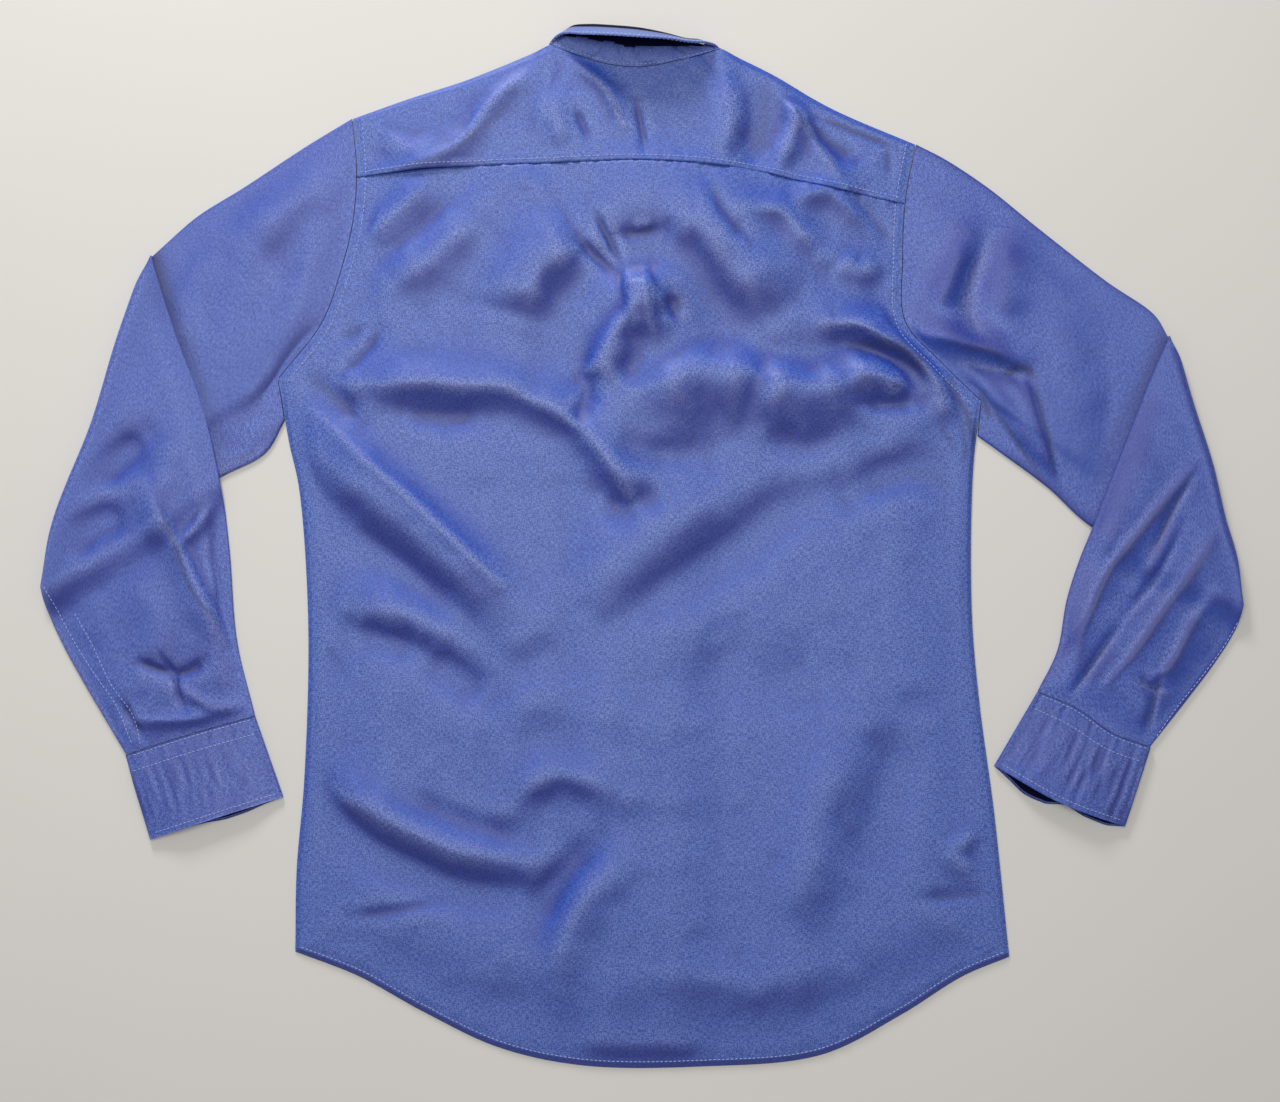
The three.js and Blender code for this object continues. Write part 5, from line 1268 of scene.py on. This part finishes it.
def oxford(name, mid, vivid_lit, navy_shade, pale):
    """Two-tone oxford cloth: coloured warp over pale weft, with painted shade in dips, on shaded
    slopes and between layers, painted light on lit slopes and a painted highlight on crests.
    """
    n = Nodes(name)
    cloth = n.add("UVMap", uv_map="cloth").outputs[0]
    xyz = n.add("SeparateXYZ", {0: cloth}).outputs
    turn = math.pi / (THREAD * MM)
    waves = [n.math("SINE", n.math("MULTIPLY", xyz[k], turn)) for k in (0, 1)]
    slubs = [n.noise(n.add("Mapping", {0: cloth, "Scale": size}).outputs[0], 1.0, 1.0)
             for size in SLUBS]
    grain = n.math("ADD", n.math("ADD", slubs[0], slubs[1]), slubs[2])
    over = n.range(n.math("MULTIPLY", *waves), *WEAVE, 0.0, WEAVE_SHARE)
    share = n.math("ADD", n.range(grain, *GRAIN, 0.0, GRAIN_SHARE), over)
    painted_light, depth = n.add("VertexColor", layer_name="painted_light").outputs[:2]
    crest, north, south = n.add("SeparateColor", {0: painted_light}).outputs[:3]
    mid, vivid_lit, navy_shade, pale = (linear(color) for color in (mid, vivid_lit, navy_shade, pale))
    clouds = n.noise(cloth, 24.0, 3.0)
    color = n.mix(n.range(clouds, *CLOUDS, 0.0, CLOUD_SHARE), mid, vivid_lit)
    # Painted light on lit slopes, painted shade on shaded slopes and in dips, and a painted highlight
    # on crests.
    color = n.mix(n.math("MULTIPLY", north, LIT), color, vivid_lit)
    color = n.mix(n.math("MULTIPLY", south, SHADED), color, navy_shade)
    color = n.mix(n.range(crest, 0.5, 1.0, 0.0, CREST_HIGHLIGHT), color, pale)
    color = n.mix(n.range(crest, 0.5, 0.0, 0.0, DIP_SHADE), color, navy_shade)
    warp = n.mix(1.0, color, WARP_TINT, "MULTIPLY")
    weft = n.mix(1.0, color, WEFT_TINT, "MULTIPLY")
    color = n.mix(share, warp, weft)
    # Painted shade between layers, along creases and beside the forearm's edge.
    color = n.mix(n.math("MULTIPLY", depth, DEEP_SHADE_SHARE), color, linear(DEEP_SHADE))
    threads = [n.math("MULTIPLY", n.math("ABSOLUTE", wave), 0.5) for wave in waves]
    height = n.math("ADD", n.math("ADD", *threads), n.math("MULTIPLY", grain, 0.4))
    bump = n.bump(0.5, 0.00012, height)
    bump = n.bump(0.35, 0.0006, n.noise(cloth, 220.0, 3.0, 0.6), Normal=bump)
    return n.finish(color, bump, rough=0.5, sheen=0.1, sheen_rough=0.5, specular=0.9)


def mottled(name, noise, colors, bump=(), mapped=False, **shader):
    """A material whose colour drifts between two, by noise of a given scale and detail."""
    n = Nodes(name)
    if mapped:
        where = n.add("UVMap", uv_map="cloth").outputs[0]
    else:
        where = n.add("TexCoord").outputs["Object"]
    clouds = n.noise(where, *noise)
    color = n.mix(clouds, *(linear(color) for color in colors))
    return n.finish(color, n.bump(*bump, clouds) if bump else None, **shader)


# --- Stitches and buttons ---

STITCH, STITCH_GAP, STITCH_THICK = 2.6, 0.8, 0.55
STITCH_LIFT, STITCH_SUNK = 0.6, 0.1  # its height against its thickness; share of it in the cloth
STITCH_FULL = (0.18, 0.82)  # shares of its length between which it is at its thickest
PATH_STEPS = 1500
FAR = 0.2  # a ray starts this far above or below the floor, in metres
HOLE_STEPS, HOLE_RADIUS, HOLE_PLACE = 32, 0.65, 1.1  # a button's holes
DISC_INSET, DISC_MIDDLE, DISC_HALF, DISC_BEVEL = 0.3, 1.1, 0.35, 0.25
RIM_STEPS, RIM_HALF, RIM_MIDDLE, RIM_HIGH = (48, 10), 0.75, 0.95, 0.93
THREAD_RADIUS, THREAD_LENGTH, THREAD_Z = 0.3, 2.4, 0.42


def surface(piece):
    faces = [tuple(polygon.vertices) for polygon in piece.data.polygons]
    return BVHTree.FromPolygons([vertex.co.copy() for vertex in piece.data.vertices], faces)


def drape(tree, plan, below=False):
    """Where places in plan meet a piece, seen from above or from below, in millimetres."""
    out = []
    for x, y in (plan - MIDDLE) * MM:
        start = Vector((x, y, -FAR if below else FAR))
        hit = tree.ray_cast(start, Vector((0, 0, 1 if below else -1)))[0]
        out.append((np.nan,) * 3 if hit is None else tuple(hit))
    points = np.array(out) / MM
    points[:, :2] += MIDDLE
    return points


def along_path(path, out):
    """Both ends of each stitch along a path, each end with the way out of the cloth."""
    run = run_of(path)
    begins = np.arange(1, run[-1] - STITCH, STITCH + STITCH_GAP)
    ends = []
    for ahead in (0, STITCH):
        ends += [interpolate(begins + ahead, run, rows) for rows in (path, out)]
    a, out_a, b, out_b = ends
    return list(zip(a, b, (out_a + out_b) / 2))


def on_cloth(tree, line, start=0, end=1, below=False):
    """The stitches of a line in plan, laid on a piece from above or from below."""
    path = line(np.linspace(start, end, PATH_STEPS))
    up = np.tile([0, 0, -1.0 if below else 1.0], (len(path), 1))
    flat = along_path(path, up)
    a, b = (drape(tree, np.array([pair[k] for pair in flat]), below) for k in (0, 1))
    return [(p, q, pair[2]) for p, q, pair in zip(a, b, flat)
            if not np.isnan([*p, *q]).any() and abs(p[2] - q[2]) < STITCH]


def stitches(name, pairs, material):
    """Short round threads, given by their two ends and the way out of the cloth."""
    points, faces = [], []
    for count, (p, q, out) in enumerate(pairs):
        along = (q - p) / np.linalg.norm(q - p)
        side = np.cross(out, along) * STITCH_THICK / 2
        lift = out * STITCH_THICK * STITCH_LIFT
        points.append(p - STITCH_SUNK * lift)
        for share in STITCH_FULL:
            m = lerp(p, q, share) + lift / 2
            points += [m + side, m + lift, m - side, m - lift]
        points.append(q - STITCH_SUNK * lift)
        s = count * 10
        for k in range(4):
            j = (k + 1) % 4
            faces += [(s, s + 1 + k, s + 1 + j), (s + 1 + k, s + 5 + k, s + 5 + j, s + 1 + j),
                      (s + 9, s + 5 + j, s + 5 + k)]
    return show(name, smooth_mesh(name, points, faces, material))


def ring_of(curve, radius, centre=(0, 0)):
    ring = curve.splines.new("POLY")
    ring.points.add(HOLE_STEPS - 1)
    for k, point in enumerate(ring.points):
        turn = 2 * math.pi * k / HOLE_STEPS
        x, y = centre[0] + radius * math.cos(turn), centre[1] + radius * math.sin(turn)
        point.co = (x * MM, y * MM, 0, 1)
    ring.use_cyclic_u = True


def button_mesh():
    """The disc of a four-hole shirt button, lying at the origin."""
    curve = bpy.data.curves.new("button", "CURVE")
    curve.dimensions, curve.fill_mode = "2D", "BOTH"
    ring_of(curve, BUTTON_RADIUS - DISC_INSET)
    for sx, sy in ((1, 1), (-1, 1), (-1, -1), (1, -1)):
        ring_of(curve, HOLE_RADIUS, (sx * HOLE_PLACE, sy * HOLE_PLACE))
    curve.extrude, curve.bevel_depth, curve.bevel_resolution = DISC_HALF * MM, DISC_BEVEL * MM, 2
    holder = bpy.data.objects.new("button_curve", curve)
    mesh = bpy.data.meshes.new_from_object(holder)
    bpy.data.objects.remove(holder)
    return mesh


def button(name, place, disc, *materials):
    """One button with its rim and the thread through its holes, its face towards the floor."""
    bm = bmesh.new()
    bm.from_mesh(disc)
    bmesh.ops.translate(bm, verts=bm.verts, vec=(0, 0, DISC_MIDDLE * MM))
    turns, section = (np.arange(count) * 2 * math.pi / count for count in RIM_STEPS)
    rim = []
    for a in turns:
        radii = BUTTON_RADIUS - RIM_HALF + RIM_HALF * np.cos(section)
        heights = RIM_MIDDLE + RIM_HIGH * np.sin(section)
        rim.append([bm.verts.new(Vector((r * math.cos(a), r * math.sin(a), z)) * MM)
                    for r, z in zip(radii, heights)])
    for near, far in zip(rim, rim[1:] + rim[:1]):
        for k in range(len(near)):
            bm.faces.new((near[k - 1], far[k - 1], far[k], near[k]))
    for face in bm.faces:
        face.smooth = True
    for direction in (1, -1):
        spot = Vector((0, direction * HOLE_PLACE, THREAD_Z)) * MM
        made = bmesh.ops.create_cone(
            bm, segments=8, radius1=THREAD_RADIUS * MM, radius2=THREAD_RADIUS * MM,
            depth=THREAD_LENGTH * MM, cap_ends=True,
            matrix=Matrix.Translation(spot) @ Matrix.Rotation(math.pi / 2, 4, "Y"))
        for face in {f for v in made["verts"] for f in v.link_faces}:
            face.material_index = 1
    mesh = bpy.data.meshes.new(name)
    bm.to_mesh(mesh)
    bm.free()
    for material in materials:
        mesh.materials.append(material)
    x, y = (np.array(place) - MIDDLE) * MM
    mesh.transform(Matrix.Translation((x, y, 0)))
    dress(show(name + "_pearl", mesh), name)


# --- Floor, lights and camera ---

CAMERA_X, CAMERA_Y, CAMERA_HEIGHT = -1.55, -3.2, 1350
VIEW_WIDTH = 992  # width of the floor that the photograph shows
SENSOR, CLIP_END = 36, 20
FLOOR_HALF = 4.0
SKY = 0.33
LIGHTS = (  # name; place and size in metres; watts
    ("key", (-0.6, 2.0, 0.85), 0.5, 31),
    ("gloss", (-0.16, 0.34, 1.8), 0.9, 14),
)


def stage():
    mesh = bpy.data.meshes.new("floor")
    corners = ((-1, -1), (1, -1), (1, 1), (-1, 1))
    mesh.from_pydata([(x * FLOOR_HALF, y * FLOOR_HALF, 0) for x, y in corners], [], [(0, 1, 2, 3)])
    mesh.materials.append(mottled("pale_floor", (3.0,), ((222, 219, 213), (216, 213, 207)),
                                  rough=0.75, specular=0.2))
    floor = bpy.data.objects.new("floor", mesh)
    bpy.context.scene.collection.objects.link(floor)

    world = bpy.data.worlds.new("studio")
    world.use_nodes = True
    background = world.node_tree.nodes["Background"]
    background.inputs["Color"].default_value = (1, 1, 1, 1)
    background.inputs["Strength"].default_value = SKY
    bpy.context.scene.world = world
    bpy.context.scene.view_settings.view_transform = "Standard"

    for name, place, size, power in LIGHTS:
        data = bpy.data.lights.new(name, "AREA")
        data.shape, data.size, data.energy = "SQUARE", size, power
        light = bpy.data.objects.new(name, data)
        light.location = place
        light.rotation_mode = "QUATERNION"
        light.rotation_quaternion = (-Vector(place)).to_track_quat("-Z", "Y")
        bpy.context.scene.collection.objects.link(light)

    data = bpy.data.cameras.new("camera")
    data.sensor_width = SENSOR
    data.lens = SENSOR * CAMERA_HEIGHT / VIEW_WIDTH
    data.clip_end = CLIP_END
    camera = bpy.data.objects.new("camera", data)
    camera.location = (CAMERA_X * MM, CAMERA_Y * MM, CAMERA_HEIGHT * MM)
    bpy.context.scene.collection.objects.link(camera)
    bpy.context.scene.camera = camera


# --- The shirt ---


def placket_grid():
    u, v = np.meshgrid(steps(PLACKET_CELLS), steps(round(PLACKET_LENGTH / FRONT_CELL)))
    x = lerp(-PLACKET_WIDTH / 2, PLACKET_WIDTH / 2, u)
    y = lerp(PLACKET_TOP, FRONT_HEM_MIDDLE, v)
    return np.dstack([x, y, 0 * x + PLACKET_LIFT])


def shirt():
    body = oxford("body_oxford", **BODY_BLUE)
    arms = oxford("sleeve_oxford", **SLEEVE_BLUE)
    # Painted shade: a near-black cloth for inner faces deep between layers, where next to no light
    # reaches them.
    shade_cloth = mottled("painted_shade_cloth", (900.0,), ((2, 5, 24), (8, 16, 52)), mapped=True, rough=0.9,
                     specular=0.1)
    thread = mottled("topstitch_thread", (900.0,), ((190, 204, 240), (146, 166, 222)),
                     (0.4, 0.0001), rough=0.6, specular=0.35)
    pearl = mottled("pearl", (260.0, 4.0, 0.6), ((226, 226, 218), (206, 210, 212)), (0.1, 0.0002),
                    rough=0.22, coat=0.5, coat_rough=0.1)

    for name, grid, wall in (("back", back_grid(), PANEL), ("yoke", yoke_grid(), YOKE)):
        dress(panel(name + "_cloth", grid, wall, body, BODY_CREASE_SHADES), name)
    fronts = {"front_left": front_left_grid(), "front_right": front_right_grid(),
              "placket": placket_grid()}
    for name, grid in fronts.items():
        dress(panel(name + "_cloth", grid + [0, 0, FRONT], FRONT, body), name)
    for side, row in SLEEVES.items():
        grid, cloth, depth = sleeve_grid(row)
        dress(tube(f"sleeve_{side}_cloth", grid, cloth, depth, arms), f"sleeve_{side}")
        dress(cuff(f"cuff_{side}_cloth", row, arms, shade_cloth), f"cuff_{side}")
    grid, cloth, depth = stand_grid()
    stand = tube("collar_stand_cloth", grid, cloth, depth, body, shade_cloth)
    dress(stand, "collar_stand")
    dress(collar_leaf(body, shade_cloth), "collar_leaf")

    disc = button_mesh()
    places = {f"placket_button_{i + 1}": place for i, place in enumerate(PLACKET_BUTTONS)}
    places["collar_button"] = (NECK[0], COLLAR_BUTTON_Y)
    for side, row in SLEEVES.items():
        places[f"cuff_button_{side}"] = cuff_button_place(row)
    for name, place in places.items():
        button(name, place, disc, pearl, thread)

    sew_all(fronts, thread)


HEM_STITCH, YOKE_STITCH, ARMHOLE_STITCH, PLACKET_STITCH = 5.5, 1.8, 7, 10  # from edge or middle
LONG_SPAN, SHORT_SPAN, FELLED_SPAN = (0.004, 0.996), (0.03, 0.97), (0.01, 0.99)  # sewn shares
CUFF_STITCHES = (0.03, 0.2, 0.94)  # places of the rows of stitches down a cuff


def sew_all(fronts, thread):
    trees = {name: surface(piece) for name, piece in PIECES.items()}
    back, yoke, stand = trees["back_cloth"], trees["yoke_cloth"], trees["collar_stand_cloth"]
    seam_end = ARMHOLE_YOKE_SHARE
    armholes = offset(ARMHOLE_LEFT, ARMHOLE_STITCH), offset(ARMHOLE_RIGHT, -ARMHOLE_STITCH)
    rows = {
        "hem": on_cloth(back, offset(HEM, HEM_STITCH), *LONG_SPAN),
        "yoke": on_cloth(yoke, offset(YOKE_SEAM, YOKE_STITCH), *LONG_SPAN),
        "armholes": [pair for line in armholes
                     for pair in on_cloth(back, line, seam_end) + on_cloth(yoke, line, 0, seam_end)],
        "neck": on_cloth(stand, stand_seam, *SHORT_SPAN),
        "placket": [pair for x in (-PLACKET_STITCH, PLACKET_STITCH) for pair in on_cloth(
            trees["placket_cloth"], edge((x, PLACKET_TOP), (x, FRONT_HEM_MIDDLE)), below=True)],
        "front_hems": [pair for name in ("front_left", "front_right") for pair in on_cloth(
            trees[name + "_cloth"], edge(*fronts[name][-3, 2:-2:6, :2]), below=True)],
    }
    for side, row in SLEEVES.items():
        plan, tree = cuff_plan(row), trees[f"cuff_{side}_cloth"]
        sleeve = trees[f"sleeve_{side}_cloth"]
        rows[f"cuff_{side}"] = [
            pair for s in CUFF_STITCHES for below in (False, True)
            for pair in on_cloth(tree, lambda t, s=s: plan(t, 0 * t + s), *SHORT_SPAN, below)]
        rows[f"sleeve_{side}"] = [pair for line in row["felled"]
                                  for pair in on_cloth(sleeve, edge(*line), *FELLED_SPAN)]
    for name, pairs in rows.items():
        stitches("stitches_" + name, pairs, thread)
    sew_leaf(thread)


stage()
shirt()
